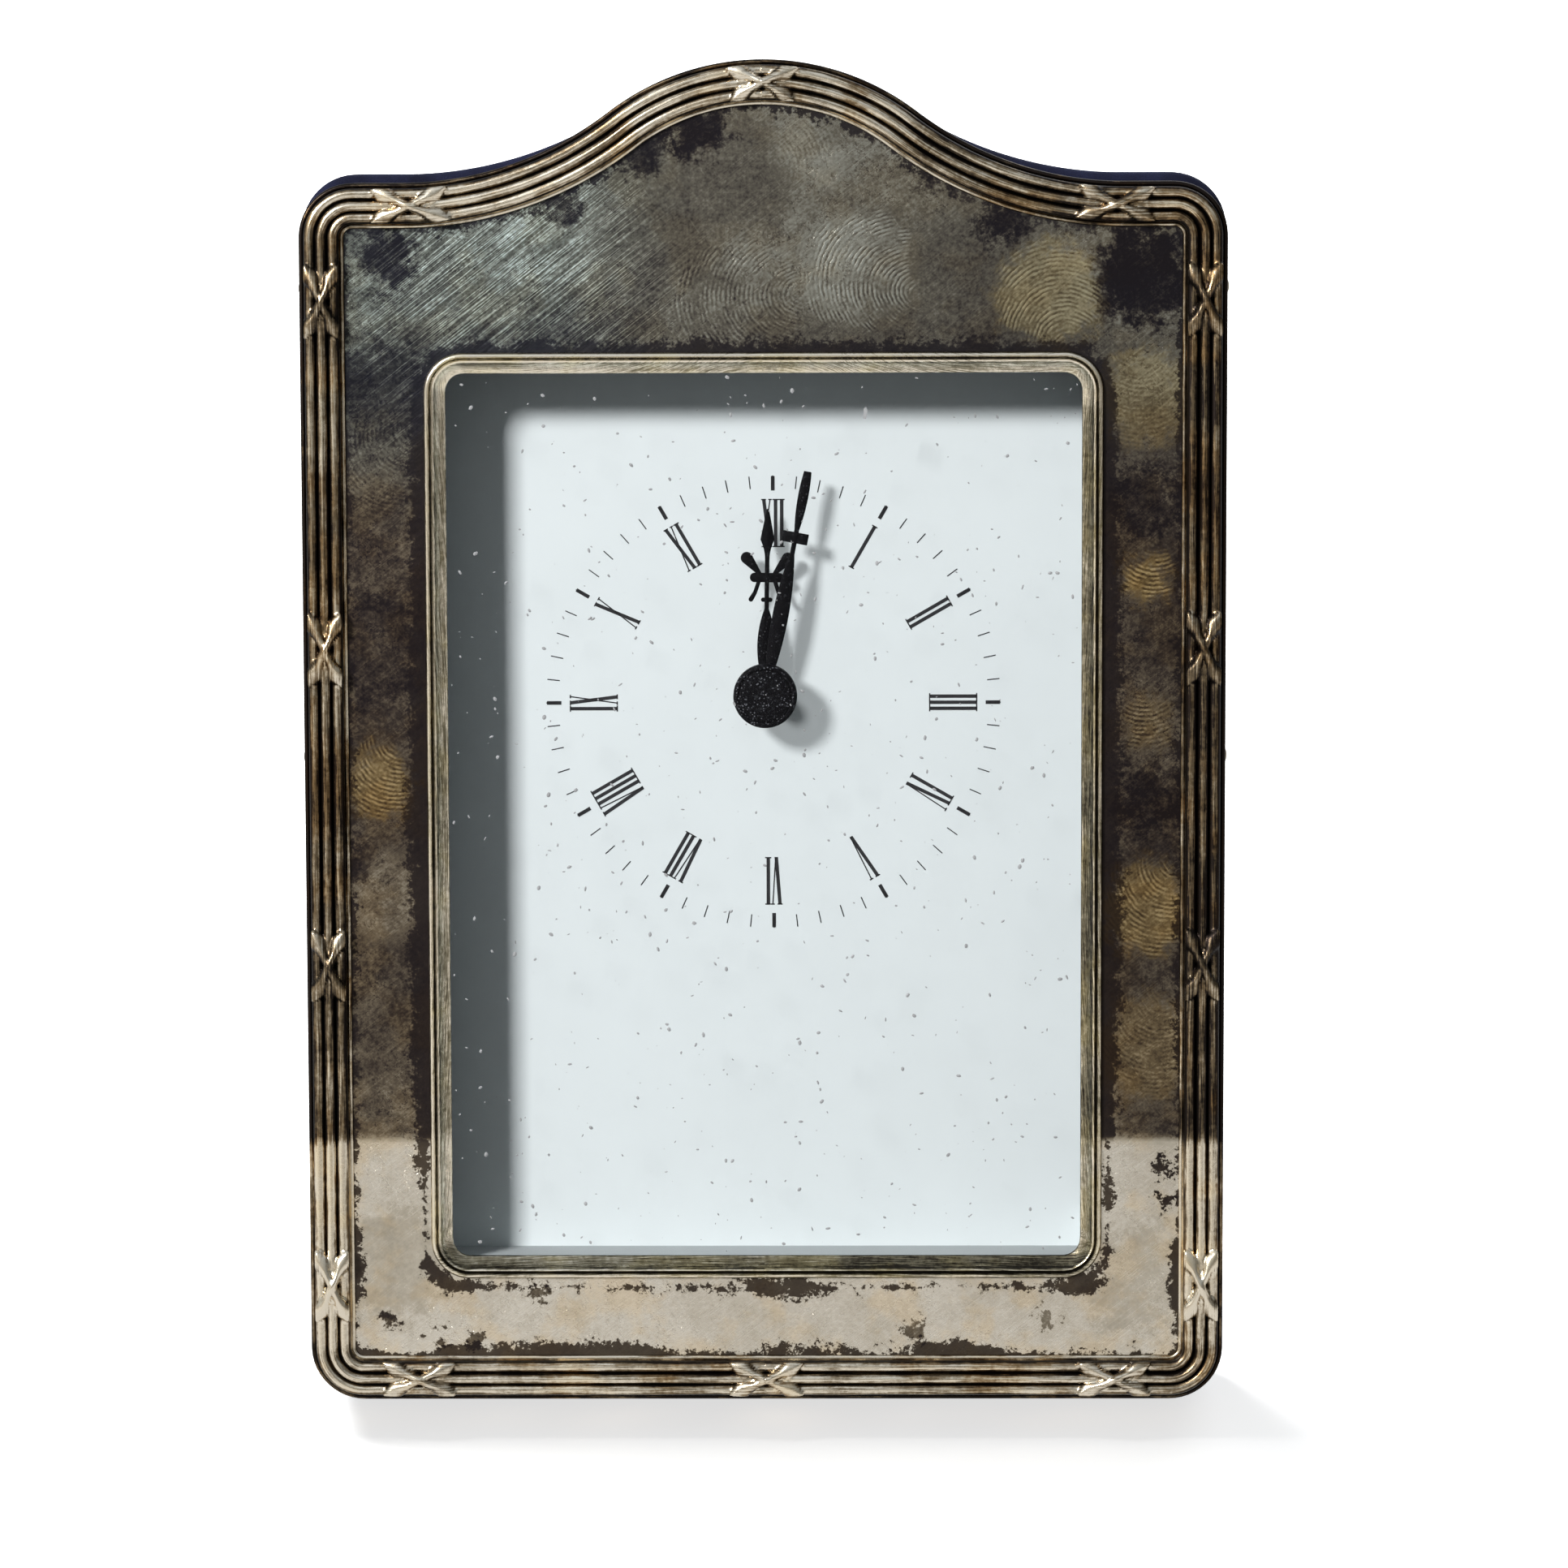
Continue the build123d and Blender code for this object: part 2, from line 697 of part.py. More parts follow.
rim = [
    polar(knob_radius - knob_notch * (index % 2), index * 180 / knob_notches)
    for index in range(2 * knob_notches)
]
with BuildPart() as setting_knob:
    with BuildSketch(train.offset(movement_rear - knob_gap)):
        with Locations(motion_place):
            Polygon(*rim, align=None)
    extrude(amount=-knob_thickness)
    with BuildSketch(train.offset(movement_rear - knob_gap)):
        with Locations(motion_place):
            add(round_sketch(knob_shaft_radius))
    extrude(amount=-knob_seat, mode=Mode.SUBTRACT)

# Going train: rotor, idler, seconds, third and centre wheels
with BuildPart() as centre_wheel:
    with BuildSketch(train.offset(centre_layer)):
        add(gear_sketch(centre_teeth, centre_module, 180))
        add(bore_sketch(minute_arbor_radius + running_clearance), mode=Mode.SUBTRACT)
    extrude(amount=-wheel_thickness)

arbor_front = mid_front - pivot_slack
arbor_rear = floor_level - pivot_depth + pivot_slack
with BuildPart() as third_wheel:
    with BuildSketch(train.offset(centre_layer)):
        with Locations(third_place):
            add(gear_sketch(third_pinion_teeth, centre_module, gap_heading(180, third_pinion_teeth)))
    extrude(amount=-wheel_thickness)
    with BuildSketch(train.offset(third_layer)):
        with Locations(third_place):
            add(gear_sketch(third_teeth, third_module, 0))
    extrude(amount=-wheel_thickness)
    with BuildSketch(train.offset(arbor_rear)):
        with Locations(third_place):
            add(round_sketch(arbor_radius))
    extrude(amount=arbor_front - arbor_rear)

with BuildPart() as seconds_wheel:
    with BuildSketch(train.offset(third_layer)):
        add(gear_sketch(seconds_pinion_teeth, third_module, gap_heading(0, seconds_pinion_teeth)))
    extrude(amount=-wheel_thickness)
    with BuildSketch(train.offset(seconds_layer)):
        add(gear_sketch(seconds_teeth, seconds_module, idler_angle))
    extrude(amount=-wheel_thickness)
    with BuildSketch(train.offset(arbor_rear)):
        add(round_sketch(arbor_radius))
    extrude(amount=slip_end + pivot_depth - pivot_slack - arbor_rear)

with BuildPart() as idler_wheel:
    with BuildSketch(train.offset(seconds_layer)):
        with Locations(idler_place):
            idler_heading = gap_heading(idler_angle, idler_pinion_teeth)
            add(gear_sketch(idler_pinion_teeth, seconds_module, idler_heading))
    extrude(amount=-wheel_thickness)
    with BuildSketch(train.offset(idler_layer)):
        with Locations(idler_place):
            add(gear_sketch(idler_teeth, idler_module, rotor_angle))
    extrude(amount=-wheel_thickness)
    with BuildSketch(train.offset(arbor_rear)):
        with Locations(idler_place):
            add(round_sketch(arbor_radius))
    extrude(amount=arbor_front - arbor_rear)

with BuildPart() as rotor_pinion:
    with BuildSketch(train.offset(idler_layer)):
        with Locations(rotor_place):
            add(gear_sketch(rotor_pinion_teeth, idler_module, gap_heading(rotor_angle, rotor_pinion_teeth)))
    extrude(amount=-wheel_thickness)
    with BuildSketch(train.offset(arbor_rear)):
        with Locations(rotor_place):
            add(round_sketch(arbor_radius))
    extrude(amount=arbor_front - arbor_rear)

with BuildPart() as rotor_magnet:
    with BuildSketch(train.offset(rotor_layer)):
        with Locations(rotor_place):
            add(round_sketch(rotor_radius))
            add(round_sketch(arbor_radius), mode=Mode.SUBTRACT)
    extrude(amount=-rotor_thickness)

# Stepping motor: a stator round the rotor whose core passes through the coil
eye_radius = rotor_radius + rotor_gap
with BuildPart() as stator:
    with BuildSketch(train.offset(stator_layer)):
        with Locations((0, (coil_rise + rotor_place[1]) / 2)):
            Rectangle(2 * stator_half_span, coil_rise - rotor_place[1] + stator_leg)
            Rectangle(
                2 * (stator_half_span - stator_leg),
                coil_rise - rotor_place[1] - stator_leg,
                mode=Mode.SUBTRACT,
            )
        with Locations(rotor_place):
            add(bore_sketch(eye_radius + stator_eye))
            add(bore_sketch(eye_radius), mode=Mode.SUBTRACT)
    extrude(amount=-stator_thickness)

stator_middle = stator_layer - stator_thickness / 2
coil_middle = train.from_local_coords((0, coil_rise, stator_middle))
coil_plane = middle_plane(leaning_plane(coil_middle, lean))
with BuildPart() as coil_bobbin:
    with BuildSketch(coil_plane):
        Rectangle(stator_leg + 2 * bobbin_wall, stator_thickness + 2 * bobbin_wall)
    extrude(amount=coil_half_length, both=True)
    for side in (-1, 1):
        with BuildSketch(coil_plane.offset(side * coil_half_length)):
            Rectangle(coil_height, coil_thickness)
        extrude(amount=-side * bobbin_wall)
    with BuildSketch(coil_plane):
        Rectangle(stator_leg, stator_thickness)
    extrude(amount=coil_half_length, both=True, mode=Mode.SUBTRACT)

winding_height = coil_height - bobbin_wall
winding_thickness = coil_thickness - bobbin_wall
with BuildPart() as coil_winding:
    with BuildSketch(coil_plane):
        Rectangle(winding_height, winding_thickness)
        core_height = stator_leg + 2 * bobbin_wall
        Rectangle(core_height, stator_thickness + 2 * bobbin_wall, mode=Mode.SUBTRACT)
    extrude(amount=coil_half_length - bobbin_wall, both=True)

board_middle = (inner_half - movement_wall - board_width / 2, board_foot + board_height / 2)
with BuildPart() as circuit_board:
    with BuildSketch(train.offset(floor_level)):
        with Locations(board_middle):
            Rectangle(board_width, board_height)
    extrude(amount=board_thickness)

crystal_depth = floor_level + board_thickness + crystal_radius
crystal_middle = train.from_local_coords((board_middle[0], board_middle[1], crystal_depth))
with BuildPart() as crystal:
    with BuildSketch(middle_plane(leaning_plane(crystal_middle, lean))):
        add(round_sketch(crystal_radius))
    extrude(amount=crystal_length / 2, both=True)

# One cell across the lower half of the movement, between a plate and a sprung contact
cell_depth = lid_rear - cell_lift - cell_radius
cell_middle = train.from_local_coords((0, bay_top - bay_height / 2, cell_depth))
cell_plane = middle_plane(leaning_plane(cell_middle, lean))
nub_end = inner_half - contact_thickness - contact_gap
cell_end = nub_end - nub_length - cell_length
with BuildPart() as battery:
    with BuildSketch(cell_plane.offset(cell_end)):
        RegularPolygon(cell_radius, cell_sides)
    extrude(amount=cell_length)
    with BuildSketch(cell_plane.offset(nub_end)):
        add(round_sketch(nub_radius))
    extrude(amount=-nub_length)

spring_rise = cell_end - contact_gap - contact_thickness + inner_half
with BuildPart() as battery_contacts:
    for side in (-1, 1):
        with BuildSketch(cell_plane.offset(side * inner_half)):
            Rectangle(contact_width, contact_height)
        extrude(amount=-side * contact_thickness)
    with BuildSketch(cell_plane.offset(contact_thickness - inner_half)):
        Rectangle(contact_width / 2, contact_width / 2)
    extrude(amount=spring_rise)

# Hands, set at a little past twelve, and the cap that hides their hubs
with BuildPart() as hour_hand:
    with BuildSketch(leaning_plane(train.origin, lean, -hour_angle).offset(hour_hand_rear)):
        reach = hour_hand_length
        with BuildLine():
            Line((0, 0.09 * reach), (0.024 * reach, 0.09 * reach))
            ThreePointArc(
                (0.024 * reach, 0.09 * reach), (0.048 * reach, 0.27 * reach), (0.012 * reach, 0.46 * reach)
            )
            Line((0.012 * reach, 0.46 * reach), (0.012 * reach, 0.73 * reach))
            ThreePointArc(
                (0.012 * reach, 0.73 * reach), (0.021 * reach, 0.79 * reach), (0.038 * reach, 0.835 * reach)
            )
            Polyline((0.038 * reach, 0.835 * reach), (0.006 * reach, reach), (0, reach))
            mirror(about=Plane.YZ)
        make_face()
        with Locations((0, 0.51 * reach)):
            Rectangle(0.057 * reach, 0.022 * reach)
        with Locations((0, 0.63 * reach)):
            Rectangle(0.18 * reach, 0.045 * reach)
        for side in (-1, 1):
            with BuildSketch(mode=Mode.PRIVATE) as leaf:
                with Locations((0.035 * side * reach, 0.645 * reach)):
                    RegularPolygon(0.009 * reach, 6)
                with Locations((0.11 * side * reach, 0.735 * reach)):
                    RegularPolygon(0.031 * reach, 10)
                make_hull()
            add(leaf.sketch)
            with BuildSketch(mode=Mode.PRIVATE) as leg:
                with Locations((0.043 * side * reach, 0.61 * reach)):
                    RegularPolygon(0.011 * reach, 6)
                with Locations((0.083 * side * reach, 0.515 * reach)):
                    RegularPolygon(0.013 * reach, 8)
                make_hull()
            add(leg.sketch)
        add(round_sketch(hour_hub_radius))
    extrude(amount=hand_thickness)
    with BuildSketch(train.offset(hour_hand_rear)):
        add(round_sketch(hour_pipe_radius))
    extrude(amount=hand_thickness, mode=Mode.SUBTRACT)

with BuildPart() as minute_hand:
    with BuildSketch(leaning_plane(train.origin, lean, -minute_angle).offset(minute_hand_rear)):
        reach = minute_hand_length
        with BuildLine():
            Line((0, 0.07 * reach), (0.02 * reach, 0.07 * reach))
            ThreePointArc(
                (0.02 * reach, 0.07 * reach), (0.035 * reach, 0.33 * reach), (0.01 * reach, 0.63 * reach)
            )
            Line((0.01 * reach, 0.63 * reach), (0.01 * reach, 0.75 * reach))
            ThreePointArc(
                (0.01 * reach, 0.75 * reach), (0.0205 * reach, 0.91 * reach), (0.016 * reach, reach)
            )
            Line((0.016 * reach, reach), (0, reach))
            mirror(about=Plane.YZ)
        make_face()
        with Locations((0, 0.705 * reach)):
            Rectangle(0.12 * reach, 0.034 * reach)
        add(round_sketch(minute_hub_radius))
    extrude(amount=hand_thickness)
    with BuildSketch(train.offset(minute_hand_rear)):
        add(round_sketch(minute_arbor_radius))
    extrude(amount=hand_thickness, mode=Mode.SUBTRACT)

with BuildPart() as hand_cap:
    with BuildSketch(train.offset(minute_hand_front)):
        Circle(cap_radius)
    extrude(amount=cap_height)
    with BuildSketch(train.offset(minute_hand_front)):
        add(round_sketch(minute_arbor_radius))
    extrude(amount=cap_seat, mode=Mode.SUBTRACT)

# Hinge bracket riveted to the rear panel, with an ear on each side of the strut
ear_half = strut_head_width / 2 + ear_gap
bracket_middle = hinge_height - (bracket_drop - bracket_rise) / 2
with BuildPart() as strut_bracket:
    with BuildSketch(face):
        with Locations((0, bracket_middle)):
            Rectangle(bracket_width, bracket_drop + bracket_rise)
            with GridLocations(2 * rivet_spread, 0, 2, 1):
                RegularPolygon(rivet_radius + slip_clearance, fastener_sides, mode=Mode.SUBTRACT)
    extrude(amount=-bracket_sheet)
    for side in (-1, 1):
        with BuildSketch(middle_plane(hinge).offset(side * ear_half)):
            Polygon(
                (-ear_half_height, pin_stand),
                (-ear_half_height, 0),
                (ear_end - ear_half_height, -ear_end),
                (ear_half_height - ear_end, -ear_end),
                (ear_half_height, 0),
                (ear_half_height, pin_stand),
                align=None,
            )
            add(bore_sketch(hinge_pin_radius), mode=Mode.SUBTRACT)
        extrude(amount=side * ear_sheet)

with BuildPart() as strut_pin:
    with BuildSketch(middle_plane(hinge)):
        Circle(hinge_pin_radius)
    extrude(amount=ear_half + ear_sheet + hinge_pin_end, both=True)

with BuildPart() as bracket_rivets:
    with BuildSketch(face.offset(-bracket_sheet)):
        with Locations((0, bracket_middle)):
            with GridLocations(2 * rivet_spread, 0, 2, 1):
                RegularPolygon(rivet_radius, fastener_sides)
    extrude(amount=bracket_sheet + panel_thickness)
    with BuildSketch(face.offset(-bracket_sheet)):
        with Locations((0, bracket_middle)):
            with GridLocations(2 * rivet_spread, 0, 2, 1):
                RegularPolygon(rivet_head_radius, fastener_sides)
    extrude(amount=-rivet_head_height)
    with BuildSketch(face.offset(panel_thickness)):
        with Locations((0, bracket_middle)):
            with GridLocations(2 * rivet_spread, 0, 2, 1):
                RegularPolygon(rivet_head_radius, fastener_sides)
    extrude(amount=rivet_tail_height)

# Strut, open against its heel, with its foot cut level with the floor
strut_length = hinge.origin.Z / cos(radians(strut_lean))
strut_head = strut_heel - clip_sheet
with BuildPart() as strut_board:
    with BuildSketch(strut_plane.offset(-strut_thickness / 2)):
        Polygon(
            (-strut_head_width / 2, strut_head),
            (-strut_head_width / 2, -clip_length),
            (-strut_foot_width / 2, -strut_length - strut_thickness),
            (strut_foot_width / 2, -strut_length - strut_thickness),
            (strut_head_width / 2, -clip_length),
            (strut_head_width / 2, strut_head),
            align=None,
        )
        with Locations((-clip_rivet_spread, -clip_rivet_drop), (clip_rivet_spread, -clip_rivet_drop)):
            RegularPolygon(rivet_radius + slip_clearance, fastener_sides, mode=Mode.SUBTRACT)
    extrude(amount=strut_thickness)
    with BuildSketch(middle_plane(strut_plane)):
        add(bore_sketch(hinge_pin_radius + running_clearance))
    extrude(amount=strut_head_width, both=True, mode=Mode.SUBTRACT)
    split(bisect_by=Plane.XY, keep=Keep.TOP)

# Folded metal clip over the head of the strut
with BuildPart() as strut_clip:
    with BuildSketch(middle_plane(strut_plane)):
        with Locations(((strut_heel - clip_length) / 2, 0)):
            Rectangle(strut_heel + clip_length, 2 * clip_half)
        with Locations(((strut_head - clip_length) / 2, 0)):
            Rectangle(strut_head + clip_length, strut_thickness, mode=Mode.SUBTRACT)
    extrude(amount=strut_head_width / 2 - clip_inset, both=True)
    with BuildSketch(strut_plane):
        with Locations((-clip_rivet_spread, -clip_rivet_drop), (clip_rivet_spread, -clip_rivet_drop)):
            RegularPolygon(rivet_radius + slip_clearance, fastener_sides)
    extrude(amount=clip_half, both=True, mode=Mode.SUBTRACT)

with BuildPart() as clip_rivets:
    with BuildSketch(strut_plane):
        with Locations((-clip_rivet_spread, -clip_rivet_drop), (clip_rivet_spread, -clip_rivet_drop)):
            RegularPolygon(rivet_radius, fastener_sides)
    extrude(amount=clip_half, both=True)
    for side in (-1, 1):
        with BuildSketch(strut_plane.offset(side * clip_half)):
            with Locations((-clip_rivet_spread, -clip_rivet_drop), (clip_rivet_spread, -clip_rivet_drop)):
                RegularPolygon(rivet_head_radius, fastener_sides)
        extrude(amount=side * clip_rivet_head)

pieces = {
    "silver_front": silver_front,
    "front_former": front_former,
    "side_pins": side_pins,
    "glass": glass,
    "dial_spacer": dial_spacer,
    "dial_plate": dial_plate,
    "back_box": back_box,
    "velvet_cover": velvet_cover,
    "back_panel": back_panel,
    "back_screws": back_screws,
    "fixing_pad": fixing_pad,
    "movement_lid": movement_lid_plate,
    "movement_case": movement_case,
    "mid_plate": mid_plate,
    "hour_wheel": hour_wheel,
    "cannon_pinion": cannon_pinion,
    "minute_wheel": minute_wheel,
    "setting_arbor": setting_arbor,
    "setting_knob": setting_knob,
    "centre_wheel": centre_wheel,
    "third_wheel": third_wheel,
    "seconds_wheel": seconds_wheel,
    "idler_wheel": idler_wheel,
    "rotor_pinion": rotor_pinion,
    "rotor_magnet": rotor_magnet,
    "stator": stator,
    "coil_bobbin": coil_bobbin,
    "coil_winding": coil_winding,
    "circuit_board": circuit_board,
    "crystal": crystal,
    "battery": battery,
    "battery_contacts": battery_contacts,
    "hour_hand": hour_hand,
    "minute_hand": minute_hand,
    "hand_cap": hand_cap,
    "strut_bracket": strut_bracket,
    "strut_pin": strut_pin,
    "bracket_rivets": bracket_rivets,
    "strut_board": strut_board,
    "strut_clip": strut_clip,
    "clip_rivets": clip_rivets,
}
os.makedirs("parts", exist_ok=True)
for name, piece in pieces.items():
    piece.part.label = name
    export_step(piece.part, f"parts/{name}.step")
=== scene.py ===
"""The looks of a silver photo frame clock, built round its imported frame."""

import logging
import math
from collections.abc import Iterable, Sequence
from dataclasses import dataclass, field
from enum import Enum
from functools import partial, reduce
from typing import Any

import bmesh
import bpy
import numpy as np
from mathutils import Matrix, Vector


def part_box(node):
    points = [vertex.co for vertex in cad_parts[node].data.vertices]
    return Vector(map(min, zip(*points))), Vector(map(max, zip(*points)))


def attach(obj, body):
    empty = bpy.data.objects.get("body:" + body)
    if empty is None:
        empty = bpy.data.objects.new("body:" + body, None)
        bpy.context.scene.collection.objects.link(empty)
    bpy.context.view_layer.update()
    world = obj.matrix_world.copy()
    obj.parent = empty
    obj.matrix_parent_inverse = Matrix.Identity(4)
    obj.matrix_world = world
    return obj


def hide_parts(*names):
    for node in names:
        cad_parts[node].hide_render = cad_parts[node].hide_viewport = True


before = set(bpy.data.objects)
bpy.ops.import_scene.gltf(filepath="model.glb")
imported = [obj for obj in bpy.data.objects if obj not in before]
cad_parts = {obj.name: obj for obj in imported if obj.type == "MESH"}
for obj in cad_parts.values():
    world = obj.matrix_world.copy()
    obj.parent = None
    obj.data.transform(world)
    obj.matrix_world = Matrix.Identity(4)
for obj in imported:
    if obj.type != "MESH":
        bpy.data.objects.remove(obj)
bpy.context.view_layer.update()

LOG = logging.getLogger("frame_clock")
MM = 0.001

Colour = tuple[float, float, float]
Point = tuple[float, float]
Place = tuple[float, float, float]
Socket = bpy.types.NodeSocket
Material = bpy.types.Material
Object = bpy.types.Object

WINDOW_MIDDLE = 72.45
MAP_SPAN = 100.0


class Body(Enum):
    """The bodies that the pieces ride on."""

    CASE = "case"
    MINUTE = "minute"
    HOUR = "hour"
    SETTING = "setting"
    STRUT = "strut"


class Slot(Enum):
    """Names of the record's slots."""

    SILVER = "silver"
    HANDS = "black_hands"
    CARD = "spacer_card"
    VELVET = "navy_velvet"
    BRASS = "brass_fittings"
    PINS = "brass_pins"
    PLASTIC = "movement_plastic"
    CELL = "cell_wrap"


class Zone(Enum):
    """The parts of the silver front, in the order of their finishes."""

    PANEL = 0
    BORDER = 1
    BEZEL = 2


class Linking(Enum):
    """How a lamp treats a group of objects."""

    ONLY = "INCLUDE"
    ALL_BUT = "EXCLUDE"


@dataclass(frozen=True)
class FacePlane:
    """The leaning face: x to the right, u up the face and n forward, in millimetres."""

    y0: float
    z0: float
    lean: float = math.radians(14.0)

    @classmethod
    def from_dial(cls, foot: float = 15.6, rear: float = 5.0, thickness: float = 1.0) -> "FacePlane":
        """Finds the face from the box of the dial plate.

        Args:
            foot: Lower edge of the dial on the face.
            rear: Depth of the rear of the dial.
            thickness: Thickness of the dial.

        Returns:
            The plane of the face.
        """
        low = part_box("dial_plate")[0]
        s, c = math.sin(cls.lean), math.cos(cls.lean)
        y0 = low[1] / MM - foot * s + (rear + thickness) * c
        return cls(y0, low[2] / MM - foot * c - rear * s)

    def matrix(self, x: float = 0.0, u: float = 0.0, n: float = 0.0, turn: float = 0.0) -> Matrix:
        """Gives the placing of a face-local mesh.

        Args:
            x: Place to the right.
            u: Place up the face.
            n: Place forward.
            turn: Turn about the normal, in radians.

        Returns:
            A matrix from local metres to the frame.
        """
        s, c = math.sin(self.lean), math.cos(self.lean)
        base = Matrix(((1, 0, 0, 0), (0, s, -c, self.y0 * MM), (0, c, s, self.z0 * MM), (0, 0, 0, 1)))
        return base @ Matrix.Translation((x * MM, u * MM, n * MM)) @ Matrix.Rotation(turn, 4, "Z")


class Tree:
    """A node tree, with short calls for what most trees use."""

    tree: bpy.types.NodeTree

    def feed(self, socket: Socket, value: Any) -> None:
        """Links or sets one input.

        Args:
            socket: The input.
            value: A socket to link, or a constant.
        """
        if isinstance(value, Socket):
            self.tree.links.new(value, socket)
        elif socket.type == "RGBA":
            socket.default_value = (*value[:3], 1.0)
        else:
            socket.default_value = value

    def node(self, kind: str, inputs: dict[Any, Any] | None = None, **settings: Any) -> bpy.types.Node:
        """Adds a node.

        Args:
            kind: The node's type.
            inputs: Values or sockets by input name or number.
            **settings: Properties of the node.

        Returns:
            The new node.
        """
        node = self.tree.nodes.new(kind)
        for key, value in settings.items():
            setattr(node, key, value)
        for key, value in (inputs or {}).items():
            self.feed(node.inputs[key], value)
        return node

    def out(self, kind: str, inputs: dict[Any, Any] | None = None, **settings: Any) -> Socket:
        """Adds a node and gives its first output."""
        return self.node(kind, inputs, **settings).outputs[0]

    def math(self, operation: str, a: Any, b: Any = 0.0, clamp: bool = False) -> Socket:
        """The result of an operation, held between 0 and 1 if it is clamped."""
        return self.out("ShaderNodeMath", {0: a, 1: b}, operation=operation, use_clamp=clamp)

    def total(self, *values: Any) -> Socket:
        """Adds up some values."""
        return reduce(partial(self.math, "ADD"), values)

    def times(self, *values: Any) -> Socket:
        """Multiplies some values."""
        return reduce(partial(self.math, "MULTIPLY"), values)

    def vector(self, parts: dict[int, Any]) -> Socket:
        """A vector from some of its coordinates."""
        return self.out("ShaderNodeCombineXYZ", parts)

    def blend(self, share: Any, a: Socket, b: Socket) -> Socket:
        """Mixes two shaders."""
        return self.out("ShaderNodeMixShader", {0: share, 1: a, 2: b})

    def part(self, vector: Socket, axis: int) -> Socket:
        """One coordinate of a vector."""
        return self.node("ShaderNodeSeparateXYZ", {0: vector}).outputs[axis]

    def ramp(self, value: Any, stops: Sequence[tuple[float, Any]]) -> Socket:
        """Turns a value into a colour.

        Args:
            value: The value.
            stops: Places and colours, or places and greys.

        Returns:
            The colour.
        """
        node = self.node("ShaderNodeValToRGB", {0: value})
        elements = node.color_ramp.elements
        while len(elements) < len(stops):
            elements.new(1.0)
        for element, (place, colour) in zip(elements, stops):
            element.position = place
            element.color = (colour,) * 3 + (1.0,) if isinstance(colour, float) else (*colour, 1.0)
        return node.outputs[0]


class Shading(Tree):
    """A material's node tree, with the patterns that the finishes use."""

    def __init__(self, name: str) -> None:
        """Starts an empty material.

        Args:
            name: Its name.
        """
        self.material = bpy.data.materials.new(name)
        self.material.use_nodes = True
        self.tree = self.material.node_tree
        self.tree.nodes.clear()
        self.output = self.node("ShaderNodeOutputMaterial")

    def millimetres(self) -> Socket:
        """Object coordinates in millimetres."""
        source = self.node("ShaderNodeTexCoord").outputs["Object"]
        return self.out("ShaderNodeMapping", {"Vector": source, "Scale": (1 / MM,) * 3})

    def face_map(self) -> Socket:
        """The piece's own map of the face, in millimetres."""
        source = self.out("ShaderNodeUVMap", uv_map="Face")
        return self.out("ShaderNodeMapping", {"Vector": source, "Scale": (MAP_SPAN,) * 3})

    def at(
        self,
        vector: Socket,
        place: Sequence[float] = (0, 0, 0),
        turn: float = 0.0,
        stretch: Sequence[float] = (1, 1, 1),
    ) -> Socket:
        """Centres a pattern on a place, turns it by radians and draws it out."""
        inputs = {"Vector": vector, "Location": place, "Rotation": (0, 0, turn), "Scale": stretch}
        return self.out("ShaderNodeMapping", inputs, vector_type="TEXTURE")

    def noise(
        self, vector: Socket, scale: float, detail: float = 3.0, roughness: float = 0.55
    ) -> Socket:
        """A noise from 0 to 1, of so many features per unit."""
        inputs = {"Vector": vector, "Scale": scale, "Detail": detail, "Roughness": roughness}
        return self.out("ShaderNodeTexNoise", inputs)

    def spots(self, vector: Socket, scale: float) -> Socket:
        """Distance from the nearest of scattered points."""
        return self.node("ShaderNodeTexVoronoi", {"Vector": vector, "Scale": scale}).outputs["Distance"]

    def rings(self, vector: Socket, scale: float, bend: float) -> Socket:
        """Bent concentric lines."""
        inputs = {"Vector": vector, "Scale": scale, "Distortion": bend, "Detail": 2.0, "Detail Scale": 1.2}
        return self.node("ShaderNodeTexWave", inputs, wave_type="RINGS", rings_direction="Z").outputs["Fac"]

    def bands(self, vector: Socket, scale: float, bend: float) -> Socket:
        """Bent straight lines."""
        inputs = {"Vector": vector, "Scale": scale, "Distortion": bend, "Detail": 3.0, "Detail Scale": 1.5}
        return self.node("ShaderNodeTexWave", inputs, wave_type="BANDS").outputs["Fac"]

    def distance(self, vector: Socket, place: Sequence[float]) -> Socket:
        """Distance from a point."""
        return self.node("ShaderNodeVectorMath", {0: vector, 1: place}, operation="DISTANCE").outputs["Value"]

    def attribute(self, name: str) -> Socket:
        """A value stored on the mesh."""
        return self.node("ShaderNodeAttribute", attribute_name=name).outputs["Fac"]

    def span(
        self, value: Any, low: float, high: float, start: float = 0.0, end: float = 1.0
    ) -> Socket:
        """Eases one range into another.

        Args:
            value: The value.
            low: Where the ease begins.
            high: Where it ends.
            start: Result at the beginning.
            end: Result at the end.

        Returns:
            The eased value.
        """
        if low > high:
            low, high, start, end = high, low, end, start
        inputs = {"Value": value, "From Min": low, "From Max": high, "To Min": start, "To Max": end}
        return self.out("ShaderNodeMapRange", inputs, interpolation_type="SMOOTHSTEP")

    def mix(self, factor: Any, a: Any, b: Any, blend: str = "MIX") -> Socket:
        """Mixes two colours.

        Args:
            factor: Share of the second.
            a: First colour.
            b: Second colour.
            blend: How they mix.

        Returns:
            The colour.
        """
        node = self.node("ShaderNodeMix", data_type="RGBA", blend_type=blend)
        for number, value in ((0, factor), (6, a), (7, b)):
            self.feed(node.inputs[number], value)
        return node.outputs[2]

    def bump(self, height: Socket, depth: float, strength: float = 1.0) -> Socket:
        """A bumped normal, of a depth in millimetres."""
        inputs = {"Height": height, "Distance": depth * MM, "Strength": strength}
        return self.out("ShaderNodeBump", inputs)

    def end(self, shader: Socket) -> Material:
        """Ends the material in a shader."""
        self.feed(self.output.inputs[0], shader)
        return self.material

